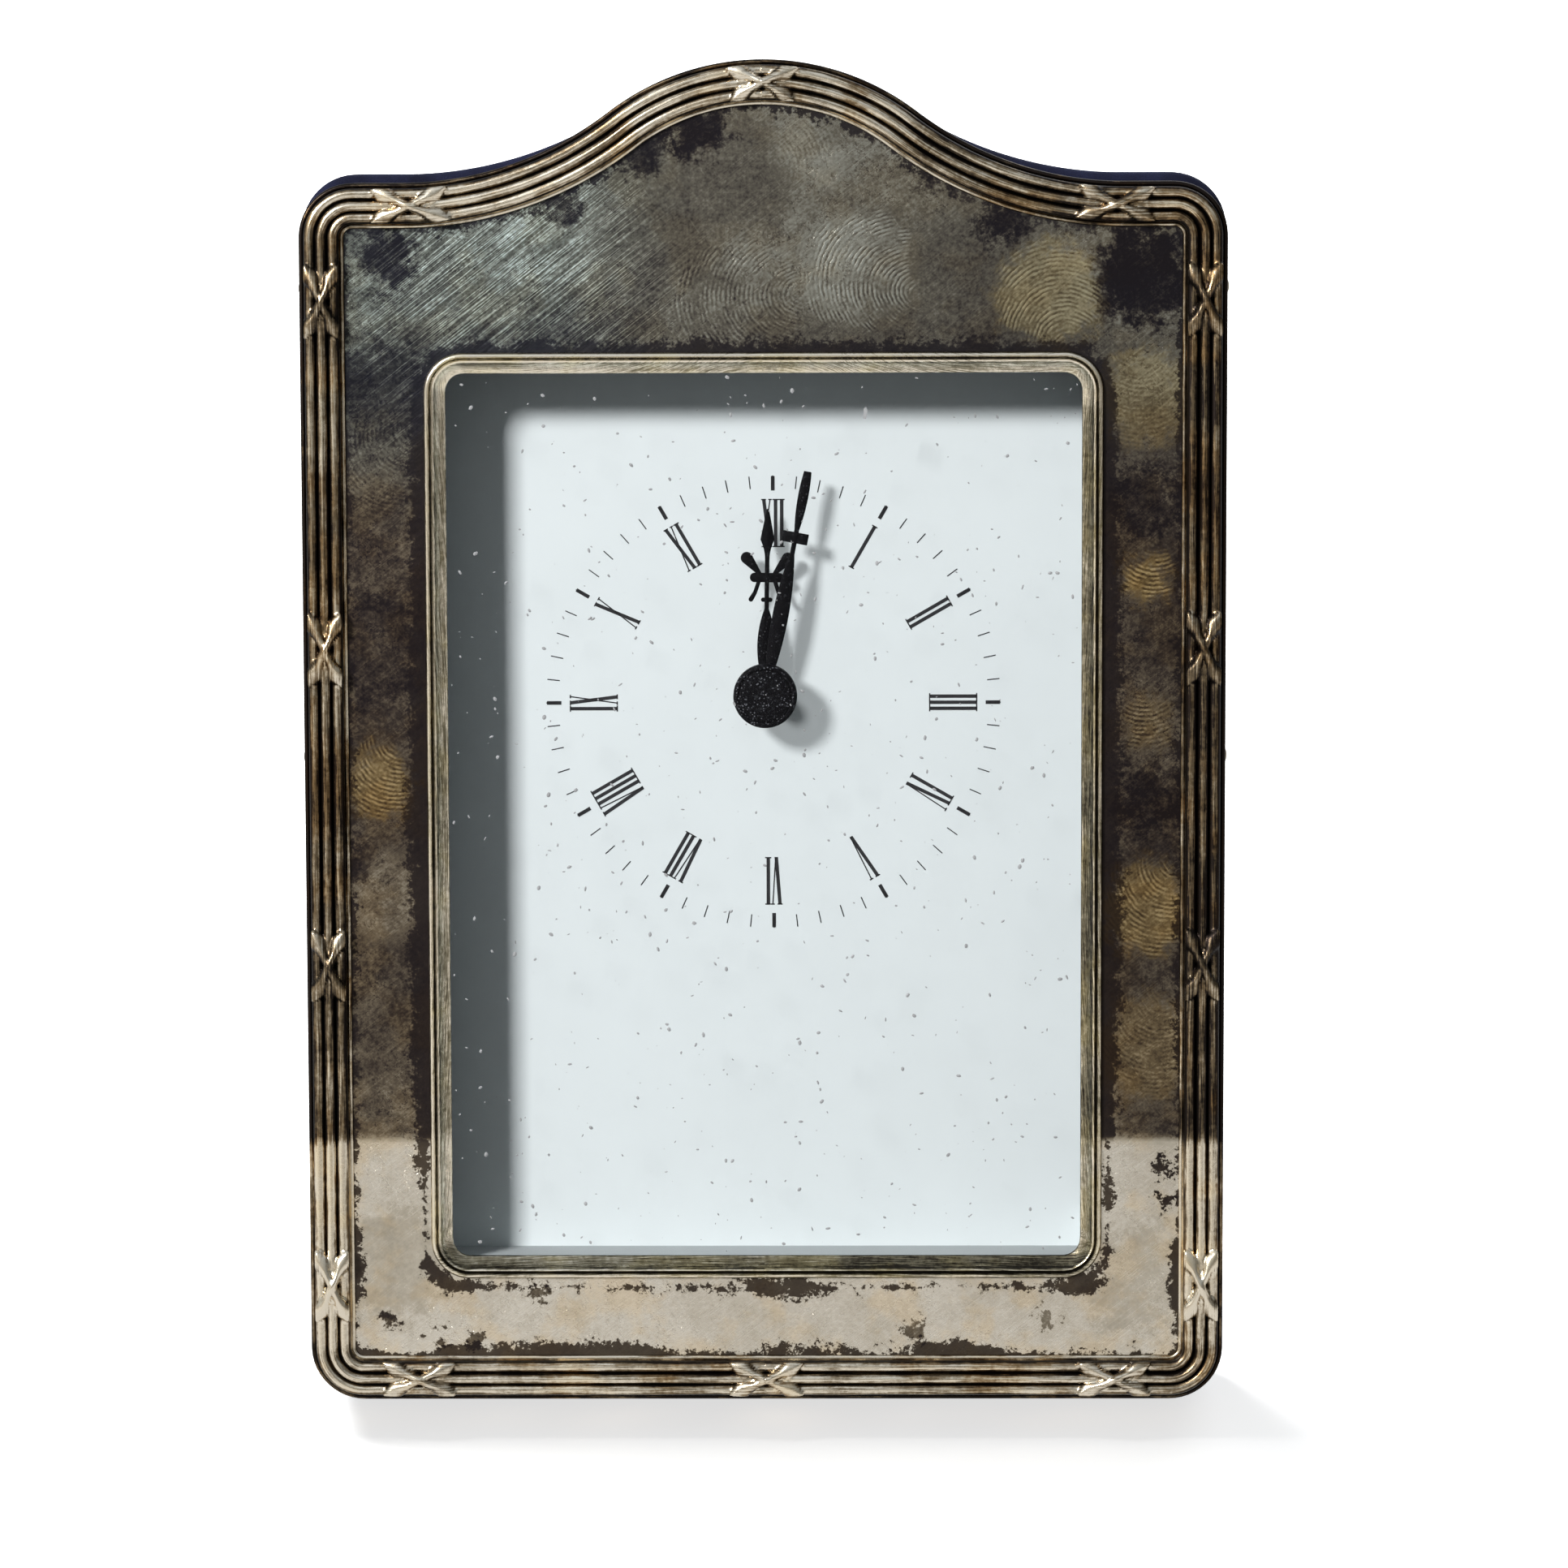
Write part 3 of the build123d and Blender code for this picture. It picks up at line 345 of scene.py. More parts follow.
    def surface(
        self, colour: Any, roughness: Any, normal: Socket, more: dict[str, Any] | None = None
    ) -> Material:
        """Ends the material in one surface, with further inputs by name."""
        inputs = {"Base Color": colour, "Roughness": roughness, "Normal": normal, **(more or {})}
        return self.end(self.out("ShaderNodeBsdfPrincipled", inputs))


@dataclass(frozen=True)
class Mark:
    """A finger mark, a cloud of tarnish or a cleaner patch on the face."""

    x: float
    u: float
    radius: float
    lift: float = 0.0
    gold: float = 0.0
    ridge: float = 0.0
    way: float = 0.0


@dataclass(frozen=True)
class PanelSilver:
    """Old silver plate on the flat panel: handled, scratched and tarnished at its edges, with a painted
    reflection that is near white below a line.
    """

    name: str = "panel_silver"
    # painted reflection: below this height the panel is painted near white, as if mirroring the bright table
    painted_reflection_below: float = 32.6
    height: float = 165.0
    flaked_below: float = -0.4
    swirl_reach: float = 8.0
    marks: tuple[Mark, ...] = (
        Mark(11.8, 139.5, 6.0, 0.10, 0.0, 1.3, -20.0),
        Mark(34.8, 136.6, 5.5, 0.14, 0.6, 1.1, -70.0),
        Mark(5.3, 154.0, 3.0, 0.08, 0.0, 0.4, 200.0),
        Mark(-3.0, 136.0, 7.0, 0.02, 0.0, 0.8, 5.0),
        Mark(-31.0, 138.0, 11.0, 0.02),
        Mark(-47.7, 116.0, 5.0, 0.04, 0.0, 0.5, 40.0),
        Mark(-46.0, 125.0, 5.0, -0.09),
        Mark(-46.0, 17.0, 6.0, -0.12),
        Mark(46.0, 15.0, 6.0, -0.10),
        Mark(-47.6, 77.0, 3.6, 0.16, 0.8, 1.2, 60.0),
        Mark(-46.7, 63.0, 4.6, 0.15),
        Mark(46.8, 124.0, 5.0, 0.16, 0.6, 0.4, 100.0),
        Mark(46.9, 102.2, 2.0, 0.22, 0.9, 1.6, 80.0),
        Mark(47.0, 84.3, 2.2, 0.08, 0.5, 1.2, 95.0),
        Mark(47.0, 61.2, 4.8, 0.18, 0.8, 1.0, 60.0),
        Mark(47.1, 44.0, 5.5, 0.10, 0.5, 0.5, 75.0),
        Mark(-8.0, 157.0, 2.5, -0.26),
        Mark(-15.0, 155.0, 2.5, -0.24),
        Mark(-24.3, 147.6, 1.2, -0.24),
        Mark(29.5, 145.6, 2.0, -0.22),
        Mark(21.0, 151.0, 1.0, -0.22),
        Mark(-45.7, 141.2, 2.4, -0.24),
        Mark(46.2, 138.6, 4.8, -0.30),
        Mark(46.5, 111.2, 3.2, -0.11),
        Mark(47.0, 75.0, 3.0, -0.10),
        Mark(-47.9, 94.0, 5.5, -0.06),
        Mark(-50.0, 66.4, 1.4, -0.16),
        Mark(49.0, 29.0, 0.9, -0.72),
        Mark(49.5, 25.0, 0.7, -0.72),
        Mark(-36.0, 7.0, 0.9, -0.65),
        Mark(-41.0, 8.2, 0.8, -0.65),
        Mark(-47.0, 10.0, 0.7, -0.60),
        Mark(-28.0, 13.6, 0.9, -0.65),
        Mark(18.5, 9.0, 0.8, -0.55),
        Mark(35.0, 10.5, 0.8, -0.45),
    )

    def handled(self, s: Shading, mm: Socket, fray: Socket) -> tuple[Any, Any, Any]:
        """Adds up the marks.

        Args:
            s: The material's tree.
            mm: The face map.
            fray: Noise that frays their edges, in millimetres.

        Returns:
            Ridges of skin, a golden share and a change of tone.
        """
        ridges, gold, lift = 0.0, 0.0, 0.0
        broken = s.span(s.noise(mm, 0.45, 3, 0.6), 0.40, 0.58, 0.1, 1.0)
        for mark in self.marks:
            away = s.total(s.distance(mm, (mark.x, mark.u, 0)), fray)
            outer, inner = (0.2, 0.1) if mark.lift < self.flaked_below else (2.4, 0.6)
            mask = s.span(away, mark.radius + outer, mark.radius - inner)
            lift = s.total(lift, s.times(mask, mark.lift))
            if mark.gold:
                gold = s.total(gold, s.times(mask, mark.gold))
            if mark.ridge:
                way = math.radians(mark.way)
                reach = self.swirl_reach
                swirl = (mark.x + reach * math.cos(way), mark.u + reach * math.sin(way), 0)
                lines = s.rings(s.at(mm, swirl, way, (1.0, 0.8, 1.0)), 0.56, 2.4)
                lines = s.span(lines, 0.25, 0.75, -0.07 * mark.ridge, 0.10 * mark.ridge)
                ridges = s.total(ridges, s.times(mask, broken, lines))
        return ridges, gold, lift

    def scratches(self, s: Shading, mm: Socket) -> Socket:
        """Adds pale hatching in the upper left, and a few fine strokes elsewhere.

        Args:
            s: The material's tree.
            mm: The face map.

        Returns:
            A change of tone.
        """
        long = s.noise(s.at(mm, (0, 0, 0), math.radians(38), (12.0, 0.13, 1)), 1.0, 3, 0.6)
        cross = s.noise(s.at(mm, (0, 0, 0), math.radians(-55), (6.0, 0.13, 1)), 1.0, 3, 0.6)
        hatched = s.span(s.distance(mm, (-32.0, 136.0, 0)), 26.0, 9.0, 0.25, 1.0)
        hatch = s.times(s.span(long, 0.48, 0.66, -0.05, 0.17), hatched)
        return s.total(hatch, s.span(cross, 0.63, 0.72, 0.0, 0.10))

    def material(self) -> Material:
        """Builds the material from its map, its edges and its marks; its tone by height is partly tarnish and
        partly painted reflection.

        Returns:
            The material.
        """
        s = Shading(self.name)
        mm = s.face_map()
        border, bezel = s.attribute("from_border"), s.attribute("from_bezel")
        broad = s.noise(mm, 0.055, 4, 0.6)
        ragged = s.noise(mm, 0.40, 7, 0.70)
        fine = s.noise(mm, 1.7, 6, 0.72)
        shift = s.math("SUBTRACT", ragged, 0.5)
        height = s.total(s.part(mm, 1), shift)
        # one above the line of the painted reflection, none below it
        above_painted_reflection = s.span(height, self.painted_reflection_below - 0.5, self.painted_reflection_below + 0.5)
        low = self.painted_reflection_below / self.height
        # painted reflection: near white below the line, and above it a tone by height that is partly tarnish,
        # partly the painted reflection of the dim room
        tone = s.ramp(
            s.math("DIVIDE", height, self.height),
            (
                (0.0, 0.93), (low - 0.003, 0.90), (low + 0.003, 0.24), (0.40, 0.18), (0.56, 0.15),
                (0.68, 0.13), (0.77, 0.17), (0.82, 0.27), (0.90, 0.30), (0.96, 0.33),
            ),
        )
        scratch = self.scratches(s, mm)
        vein = s.math("ABSOLUTE", s.math("SUBTRACT", s.noise(mm, 0.25, 4, 0.7), 0.5))
        crease = s.times(s.span(vein, 0.012, 0.0, 0.0, -0.14), s.span(broad, 0.42, 0.56))
        fray = s.total(s.times(shift, 12.0), s.span(fine, 0.3, 0.7, -0.5, 0.5))
        ridges, gold, lift = self.handled(s, mm, fray)
        rough = s.span(height, self.painted_reflection_below - 0.5, self.painted_reflection_below + 0.5, 0.5, 1.0)
        grain = s.times(s.span(fine, 0.30, 0.70, -0.085, 0.085), rough)
        upper = s.span(height, 104.0, 130.0)
        blotch = s.times(s.span(ragged, 0.3, 0.7, -0.08, 0.08), s.span(upper, 0.0, 1.0, 1.0, 0.55))
        cloud = s.span(broad, 0.35, 0.65, -0.07, 0.06)
        tone = s.total(tone, lift, grain, blotch, cloud, scratch, crease, ridges)

        drawn = s.noise(s.at(mm, stretch=(2.4, 1.0, 1)), 0.11, 2)
        reach = s.times(s.span(drawn, 0.42, 0.60, 0.25, 1.0), s.span(above_painted_reflection, 0.0, 1.0, -2.0, -0.9))
        frayed = s.total(s.times(shift, 6.0), s.span(fine, 0.3, 0.7, -0.7, 0.7))
        off_bezel = s.math("ABSOLUTE", s.math("SUBTRACT", bezel, 1.2))
        nearest = s.math("MINIMUM", s.total(border, 0.3), s.total(off_bezel, 0.6))
        patches = s.span(s.total(nearest, reach, frayed), 0.12, -0.12)
        by_bezel = s.span(s.total(bezel, frayed, s.span(height, 124.0, 128.0, 0.0, 1.1)), 2.9, 1.9)
        by_border = s.span(s.total(border, frayed), 1.0, 0.0, 0.0, 0.75)
        old = s.times(s.math("MAXIMUM", by_border, by_bezel), above_painted_reflection)
        pits = s.times(s.span(fine, 0.66, 0.72), s.span(broad, 0.50, 0.60, 0.0, 0.8))
        dark = s.math("MAXIMUM", s.math("MAXIMUM", old, patches), pits)
        tone = s.times(tone, s.math("SUBTRACT", 1.0, s.times(dark, 0.80)))
        colour = s.ramp(
            tone,
            (
                (0.0, (0.013, 0.0098, 0.011)),
                (0.14, (0.042, 0.032, 0.026)),
                (0.30, (0.130, 0.105, 0.074)),
                (0.46, (0.30, 0.262, 0.20)),
                (0.62, (0.46, 0.415, 0.335)),
                (0.80, (0.64, 0.585, 0.49)),
                (1.0, (0.80, 0.75, 0.66)),
            ),
        )
        stain = s.times(s.span(s.noise(mm, 0.13, 4, 0.6), 0.46, 0.62), s.span(upper, 0.0, 1.0, 1.0, 0.6))
        cool = s.mix(s.span(s.part(mm, 0), -28.0, -6.0), (0.77, 1.05, 1.32), (0.90, 1.03, 1.17))
        colour = s.mix(upper, colour, cool, "MULTIPLY")
        colour = s.mix(s.times(stain, 0.6), colour, (1.06, 0.94, 0.76), "MULTIPLY")
        colour = s.mix(s.math("MULTIPLY", gold, above_painted_reflection, clamp=True), colour, (1.25, 1.04, 0.60), "MULTIPLY")
        relief = s.total(scratch, ridges, grain, crease)
        roughness = s.span(tone, 0.0, 0.9, 0.46, 0.27)
        return s.surface(colour, roughness, s.bump(relief, 0.07, 0.7), {"Metallic": 0.94})


@dataclass(frozen=True)
class MouldingSilver:
    """Silver on raised work: bright on its crests, black in its hollows, with painted reflection in bands by
    height and painted shade towards the right.
    """

    name: str
    hollow: Colour = (0.016, 0.012, 0.010)
    worn: Colour = (0.215, 0.160, 0.095)
    bright: Colour = (0.78, 0.70, 0.565)
    tint: Colour = (0.66, 0.45, 0.22)
    tint_share: float = 0.45
    roughness: float = 0.22
    patchy: float = 0.26
    # painted light: bands by height, brighter up to 32.6 as a painted reflection of the bright table, and
    # brighter on the bow as a painted highlight
    painted_light_bands: tuple[Place, ...] = ((-4.0, 7.0, 0.30), (7.0, 32.6, 0.56), (146.0, 170.0, 0.22))
    # painted shade: the right side is darker, as it faced away from the key lamp
    painted_shade_right: float = -0.20

    def material(self) -> Material:
        """Builds the material from the values that are stored on the mesh.

        Returns:
            The material.
        """
        s = Shading(self.name)
        mm = s.face_map()
        lengthwise = s.vector({0: s.attribute("run"), 1: s.attribute("across")})
        streak = s.noise(s.at(lengthwise, stretch=(6.0, 0.2, 1)), 1.0, 4, 0.65)
        place = s.millimetres()
        patch = s.noise(place, 0.07, 4, 0.65)
        fine = s.noise(place, 1.6, 5, 0.65)
        # zones gathers the painted light bands by height
        up, zones = s.part(mm, 1), 0.0
        for low, high, lift in self.painted_light_bands:
            band = s.times(s.span(up, low - 1.0, low + 1.0), s.span(up, high + 1.0, high - 1.0))
            zones = s.total(zones, s.times(band, lift))
        tone = s.total(
            s.attribute("crest"),
            zones,
            # painted shade towards the right
            s.span(s.part(mm, 0), -45.0, 45.0, 0.0, self.painted_shade_right),
            s.span(patch, 0.32, 0.68, -self.patchy, 0.5 * self.patchy),
            s.span(streak, 0.32, 0.68, -0.26, 0.22),
            s.span(fine, 0.3, 0.7, -0.10, 0.08),
        )
        stops = ((0.0, self.hollow), (0.34, self.hollow), (0.68, self.worn), (1.0, self.bright))
        colour = s.ramp(tone, stops)
        gold = s.times(s.span(s.noise(place, 0.16, 3), 0.45, 0.65), self.tint_share)
        colour = s.mix(gold, colour, self.tint, "SOFT_LIGHT")
        roughness = s.span(tone, 0.1, 1.0, 0.42, self.roughness)
        return s.surface(colour, roughness, s.bump(s.total(fine, streak), 0.05, 0.35), {"Metallic": 0.96})


@dataclass(frozen=True)
class Metal:
    """A worked metal with a little dullness and fine turning or drawing marks."""

    name: str
    colour: Colour
    dull: Colour
    roughness: float = 0.3
    marks: float = 0.02

    def material(self) -> Material:
        """Builds the material.

        Returns:
            The material.
        """
        s = Shading(self.name)
        mm = s.millimetres()
        patch = s.noise(mm, 0.45, 5, 0.6)
        lines = s.noise(s.at(mm, stretch=(8, 0.2, 0.2)), 1.0, 3)
        colour = s.mix(s.span(patch, 0.4, 0.75), self.colour, self.dull)
        roughness = s.span(patch, 0.3, 0.75, self.roughness, self.roughness + 0.2)
        return s.surface(colour, roughness, s.bump(lines, self.marks, 0.4), {"Metallic": 1.0})


@dataclass(frozen=True)
class Moulded:
    """Moulded plastic, card or paint with a fine grain."""

    name: str
    colour: Colour
    roughness: float = 0.5
    grain: float = 3.0
    depth: float = 0.02
    spread: float = 0.12

    def material(self) -> Material:
        """Builds the material.

        Returns:
            The material.
        """
        s = Shading(self.name)
        mm = s.millimetres()
        grain = s.noise(mm, self.grain, 4, 0.6)
        broad = s.noise(mm, 0.12, 3)
        pale = tuple(min(1.0, c * (1 + self.spread) + 0.01 * self.spread) for c in self.colour)
        deep = tuple(c * (1 - self.spread) for c in self.colour)
        colour = s.mix(s.span(broad, 0.3, 0.7), deep, pale)
        roughness = s.span(grain, 0.2, 0.8, self.roughness - 0.08, self.roughness + 0.1)
        return s.surface(colour, roughness, s.bump(grain, self.depth, 0.6))


@dataclass(frozen=True)
class ShadePaintedCard:
    """Card painted dark for the shade on its top and side walls, and pale on its lower rail, which the key
    lamp lights.
    """

    name: str = "railed_card"
    # painted shade: the dark of the walls stands in for the shade that falls on them
    dark: Colour = (0.042, 0.050, 0.052)
    pale: Colour = (0.38, 0.405, 0.41)
    rail_top: float = 22.9

    def material(self) -> Material:
        """Builds the material.

        Returns:
            The material.
        """
        s = Shading(self.name)
        mm = s.millimetres()
        grain = s.noise(mm, 3.0, 4, 0.6)
        # painted shade above the rail, pale below it
        low = s.span(s.part(mm, 2), self.rail_top, self.rail_top - 0.4)
        colour = s.mix(low, self.dark, self.pale)
        roughness = s.span(grain, 0.2, 0.8, 0.72, 0.9)
        return s.surface(colour, roughness, s.bump(grain, 0.02, 0.6))


@dataclass(frozen=True)
class DustyBlack:
    """Matte black paint that has caught pale dust."""

    name: str
    dust: float = 0.3

    def material(self) -> Material:
        """Builds the material.

        Returns:
            The material.
        """
        s = Shading(self.name)
        mm = s.millimetres()
        patch = s.noise(mm, 0.9, 3)
        specks = s.times(s.span(s.spots(mm, 2.9), 0.32, 0.18), s.span(patch, 0.38, 0.58))
        film = s.span(s.noise(mm, 3.0, 4), 0.48, 0.8, 0.0, 0.16)
        share = s.times(s.math("ADD", specks, film, clamp=True), self.dust)
        colour = s.mix(share, (0.0035, 0.0035, 0.0045), (0.30, 0.31, 0.34))
        roughness = s.span(share, 0.0, 0.4, 0.55, 0.85)
        normal = s.bump(s.noise(mm, 6.0, 3), 0.02, 0.5)
        return s.surface(colour, roughness, normal, {"Specular IOR Level": 0.05})


@dataclass(frozen=True)
class Pile:
    """Short velvet pile with a soft edge light."""

    name: str
    colour: Colour = (0.0055, 0.0065, 0.017)
    sheen: Colour = (0.34, 0.38, 0.62)

    def material(self) -> Material:
        """Builds the material.

        Returns:
            The material.
        """
        s = Shading(self.name)
        mm = s.millimetres()
        brushed = s.noise(mm, 0.10, 4, 0.6)
        fibre = s.noise(mm, 5.5, 3, 0.7)
        pale = tuple(c * 3.4 for c in self.colour)
        share = s.times(s.span(brushed, 0.35, 0.7), s.span(fibre, 0.3, 0.75, 0.4, 1.0))
        colour = s.mix(share, self.colour, pale)
        roughness = s.span(fibre, 0.2, 0.8, 0.82, 0.96)
        more = {
            "Specular IOR Level": 0.15,
            "Sheen Weight": 0.20,
            "Sheen Roughness": 0.42,
            "Sheen Tint": (*self.sheen, 1.0),
        }
        return s.surface(colour, roughness, s.bump(fibre, 0.16, 0.8), more)


@dataclass(frozen=True)
class Timber:
    """Plain sawn wood."""

    name: str
    pale: Colour = (0.60, 0.45, 0.29)
    deep: Colour = (0.40, 0.27, 0.155)

    def material(self) -> Material:
        """Builds the material.

        Returns:
            The material.
        """
        s = Shading(self.name)
        mm = s.millimetres()
        grain = s.bands(s.at(mm, stretch=(3.0, 3.0, 30.0)), 0.9, 5.0)
        pores = s.noise(s.at(mm, stretch=(0.4, 0.4, 6.0)), 1.0, 3)
        share = s.total(s.times(grain, 0.6), s.times(pores, 0.4))
        colour = s.mix(share, self.pale, self.deep)
        roughness = s.span(pores, 0.2, 0.8, 0.62, 0.8)
        return s.surface(colour, roughness, s.bump(share, 0.08, 0.6))


@dataclass(frozen=True)
class DialCard:
    """Satin white dial with the faint mottle of painted card."""

    name: str = "dial_white"
    colour: Colour = (0.748, 0.800, 0.803)

    def material(self) -> Material:
        """Builds the material.

        Returns:
            The material.
        """
        s = Shading(self.name)
        mm = s.millimetres()
        mottle = s.noise(mm, 0.08, 4)
        fine = s.noise(mm, 3.0, 3)
        cool = tuple(c * 0.975 for c in self.colour)
        colour = s.mix(s.span(mottle, 0.3, 0.7), cool, self.colour)
        roughness = s.span(fine, 0.2, 0.8, 0.45, 0.58)
        return s.surface(colour, roughness, s.bump(fine, 0.006, 0.3))


@dataclass(frozen=True)
class ClearGlass:
    """Thin clear glass: light passes straight through and the surface keeps its gloss."""

    name: str = "clear_glass"
    least: float = 0.004

    def material(self) -> Material:
        """Builds the material.

        Returns:
            The material.
        """
        s = Shading(self.name)
        mm = s.millimetres()
        smear = s.span(s.noise(mm, 0.10, 4), 0.35, 0.75, 0.02, 0.06)
        clear = s.out("ShaderNodeBsdfTransparent", {"Color": (0.975, 0.98, 0.985)})
        gloss = s.out("ShaderNodeBsdfGlossy", {"Color": (1, 1, 1), "Roughness": smear})
        facing = s.node("ShaderNodeLayerWeight", {"Blend": 0.5}).outputs["Facing"]
        share = s.total(s.times(s.math("POWER", facing, 4.0), 0.6), self.least)
        return s.end(s.blend(share, clear, gloss))


@dataclass(frozen=True)
class CellWrap:
    """Plain two-tone wrap of a dry cell, with steel ends."""

    name: str = "cell_wrap"
    band_from: float = 10.0
    steel_from: float = 23.6
    dark: Colour = (0.030, 0.032, 0.036)
    band: Colour = (0.36, 0.20, 0.10)

    def material(self) -> Material:
        """Builds the material from the place along the cell.

        Returns:
            The material.
        """
        s = Shading(self.name)
        mm = s.millimetres()
        along = s.part(mm, 0)
        scuff = s.noise(mm, 0.8, 5)
        wrap = s.mix(s.math("GREATER_THAN", along, self.band_from), self.dark, self.band)
        ends = s.math("GREATER_THAN", s.math("ABSOLUTE", along), self.steel_from)
        colour = s.mix(ends, wrap, (0.62, 0.62, 0.62))
        colour = s.mix(s.span(scuff, 0.62, 0.8, 0.0, 0.3), colour, (0.45, 0.45, 0.45))
        roughness = s.span(scuff, 0.3, 0.8, 0.28, 0.5)
        return s.surface(colour, roughness, s.bump(scuff, 0.02, 0.3), {"Metallic": ends})


@dataclass(frozen=True)
class Laminate:
    """Green circuit board with paler tracks."""

    name: str = "circuit_laminate"

    def material(self) -> Material:
        """Builds the material.

        Returns:
            The material.
        """
        s = Shading(self.name)
        mm = s.millimetres()
        inputs = {"Vector": mm, "Scale": 0.5, "Mortar Size": 0.05}
        tracks = s.node("ShaderNodeTexBrick", inputs).outputs["Fac"]
        speck = s.noise(mm, 4.0, 3)
        colour = s.mix(tracks, (0.030, 0.12, 0.055), (0.16, 0.33, 0.16))
        roughness = s.span(speck, 0.2, 0.8, 0.35, 0.5)
        return s.surface(colour, roughness, s.bump(tracks, 0.03, 0.6))


class NodeTree(Tree):
    """A Geometry Nodes tree with named inputs that ends in one material."""

    def __init__(self, name: str, sizes: Sequence[str], others: dict[str, str] | None = None) -> None:
        """Starts a tree.

        Args:
            name: The tree's name.
            sizes: Labels of the inputs that are plain numbers.
            others: Socket types of further inputs by label, besides the geometry and the material.
        """
        self.tree = bpy.data.node_groups.new(name, "GeometryNodeTree")
        self.keys: dict[str, str] = {}
        sockets = {"Geometry": "NodeSocketGeometry", "Material": "NodeSocketMaterial", **(others or {})}
        sockets |= dict.fromkeys(sizes, "NodeSocketFloat")
        for label, kind in sockets.items():
            socket = self.tree.interface.new_socket(name=label, in_out="INPUT", socket_type=kind)
            self.keys[label] = socket.identifier
        self.tree.interface.new_socket(name="Geometry", in_out="OUTPUT", socket_type="NodeSocketGeometry")
        self.source = self.tree.nodes.new("NodeGroupInput")
        self.sink = self.tree.nodes.new("NodeGroupOutput")

    def given(self, label: str) -> Socket:
        """The named input."""
        return self.source.outputs[label]

    def chance(self, low: Any, high: Any, seed: int) -> Socket:
        """A random value for each instance, from a fixed seed."""
        inputs = {2: low, 3: high, "Seed": seed}
        return self.node("FunctionNodeRandomValue", inputs, data_type="FLOAT").outputs[1]

    def rotation(self, euler: Socket) -> Socket:
        """A rotation from three angles."""
        return self.out("FunctionNodeEulerToRotation", {0: euler})

    def scatter(self, seed: int) -> bpy.types.Node:
        """Strews points over the faces, by the tree's density and a fixed seed."""
        inputs = {"Mesh": self.given("Geometry"), "Density": self.given("Density"), "Seed": seed}
        return self.node("GeometryNodeDistributePointsOnFaces", inputs, distribute_method="RANDOM")

    def stand(self, points: Socket, shape: Socket, rotation: Socket, scale: Any = (1, 1, 1)) -> Socket:
        """Stands a turned and scaled copy of a shape on each point."""
        inputs = {"Points": points, "Instance": shape, "Rotation": rotation, "Scale": scale}
        return self.out("GeometryNodeInstanceOnPoints", inputs)

    def close(self, geometry: Socket) -> None:
        """Realizes the instances, sets the material and ends the tree.

        Args:
            geometry: The instances.
        """
        real = self.out("GeometryNodeRealizeInstances", {0: geometry})
        inputs = {"Geometry": real, "Material": self.given("Material")}
        done = self.out("GeometryNodeSetMaterial", inputs)
        self.tree.links.new(done, self.sink.inputs[0])

    def run(self, host: Object, values: dict[str, Any]) -> None:
        """Runs the tree on an object and keeps the result as its mesh.

        Args:
            host: The object.
            values: Inputs by label.
        """
        modifier = host.modifiers.new("tree", "NODES")
        modifier.node_group = self.tree
        for label, value in values.items():
            modifier[self.keys[label]] = value
        bake(host)


def bake(obj: Object) -> None:
    """Turns an object's modifiers into its plain mesh.

    Args:
        obj: The object.
    """
    bpy.context.view_layer.update()
    shape = obj.evaluated_get(bpy.context.evaluated_depsgraph_get())
    mesh = bpy.data.meshes.new_from_object(shape)
    obj.modifiers.clear()
    old, obj.data = obj.data, mesh
    bpy.data.meshes.remove(old)
    mesh.name = obj.name


def add_object(name: str, data: Any) -> Object:
    """Adds an object with its data to the scene.

    Args:
        name: Its name.
        data: Its mesh, lamp or camera.

    Returns:
        The object.
    """
    obj = bpy.data.objects.new(name, data)
    bpy.context.scene.collection.objects.link(obj)
    return obj


def new_object(name: str, points: Any, faces: Sequence[Sequence[int]]) -> Object:
    """Makes an object from points in millimetres.

    Args:
        name: The object's name.
        points: The points.
        faces: Point numbers of each face.

    Returns:
        The object, at the origin.
    """
    mesh = bpy.data.meshes.new(name)
    mesh.from_pydata((np.asarray(points, dtype=float) * MM).tolist(), [], [list(face) for face in faces])
    return add_object(name, mesh)


def sheet(name: str, half: float, low: float, high: float) -> Object:
    """A flat rectangle, as wide to the left of the second axis as to its right."""
    corners = [(-half, low, 0), (half, low, 0), (half, high, 0), (-half, high, 0)]
    return new_object(name, corners, [(0, 1, 2, 3)])


def from_shape(name: str, shape: bmesh.types.BMesh) -> Object:
    """Turns an edited shape into an object.

    Args:
        name: Its name.
        shape: The shape, which is freed.

    Returns:
        The object.
    """
    mesh = bpy.data.meshes.new(name)
    shape.to_mesh(mesh)
    shape.free()
    return add_object(name, mesh)


def discard(obj: Object) -> None:
    """Removes a helper object."""
    bpy.data.objects.remove(obj, do_unlink=True)


def face_out(obj: Object) -> None:
    """Turns the faces of a closed mesh outwards.

    Args:
        obj: The object.
    """
    shape = bmesh.new()
    shape.from_mesh(obj.data)
    bmesh.ops.recalc_face_normals(shape, faces=shape.faces)
    shape.to_mesh(obj.data)
    shape.free()


def smooth(obj: Object, angle: float = 35.0) -> None:
    """Shades a mesh smooth up to an angle in degrees."""
    obj.data.shade_smooth()
    obj.data.set_sharp_from_angle(angle=math.radians(angle))


def soften(obj: Object, width: float, segments: int = 2, angle: float = 32.0) -> None:
    """Rounds the sharp edges of a piece.

    Args:
        obj: The piece.
        width: Width of the rounding, in millimetres.
        segments: Faces across it.
        angle: Least angle of an edge that is rounded, in degrees.
    """
    bevel = obj.modifiers.new("edges", "BEVEL")
    bevel.width = width * MM
    bevel.segments = segments
    bevel.limit_method = "ANGLE"
    bevel.angle_limit = math.radians(angle)
    bake(obj)
    smooth(obj, 40.0)


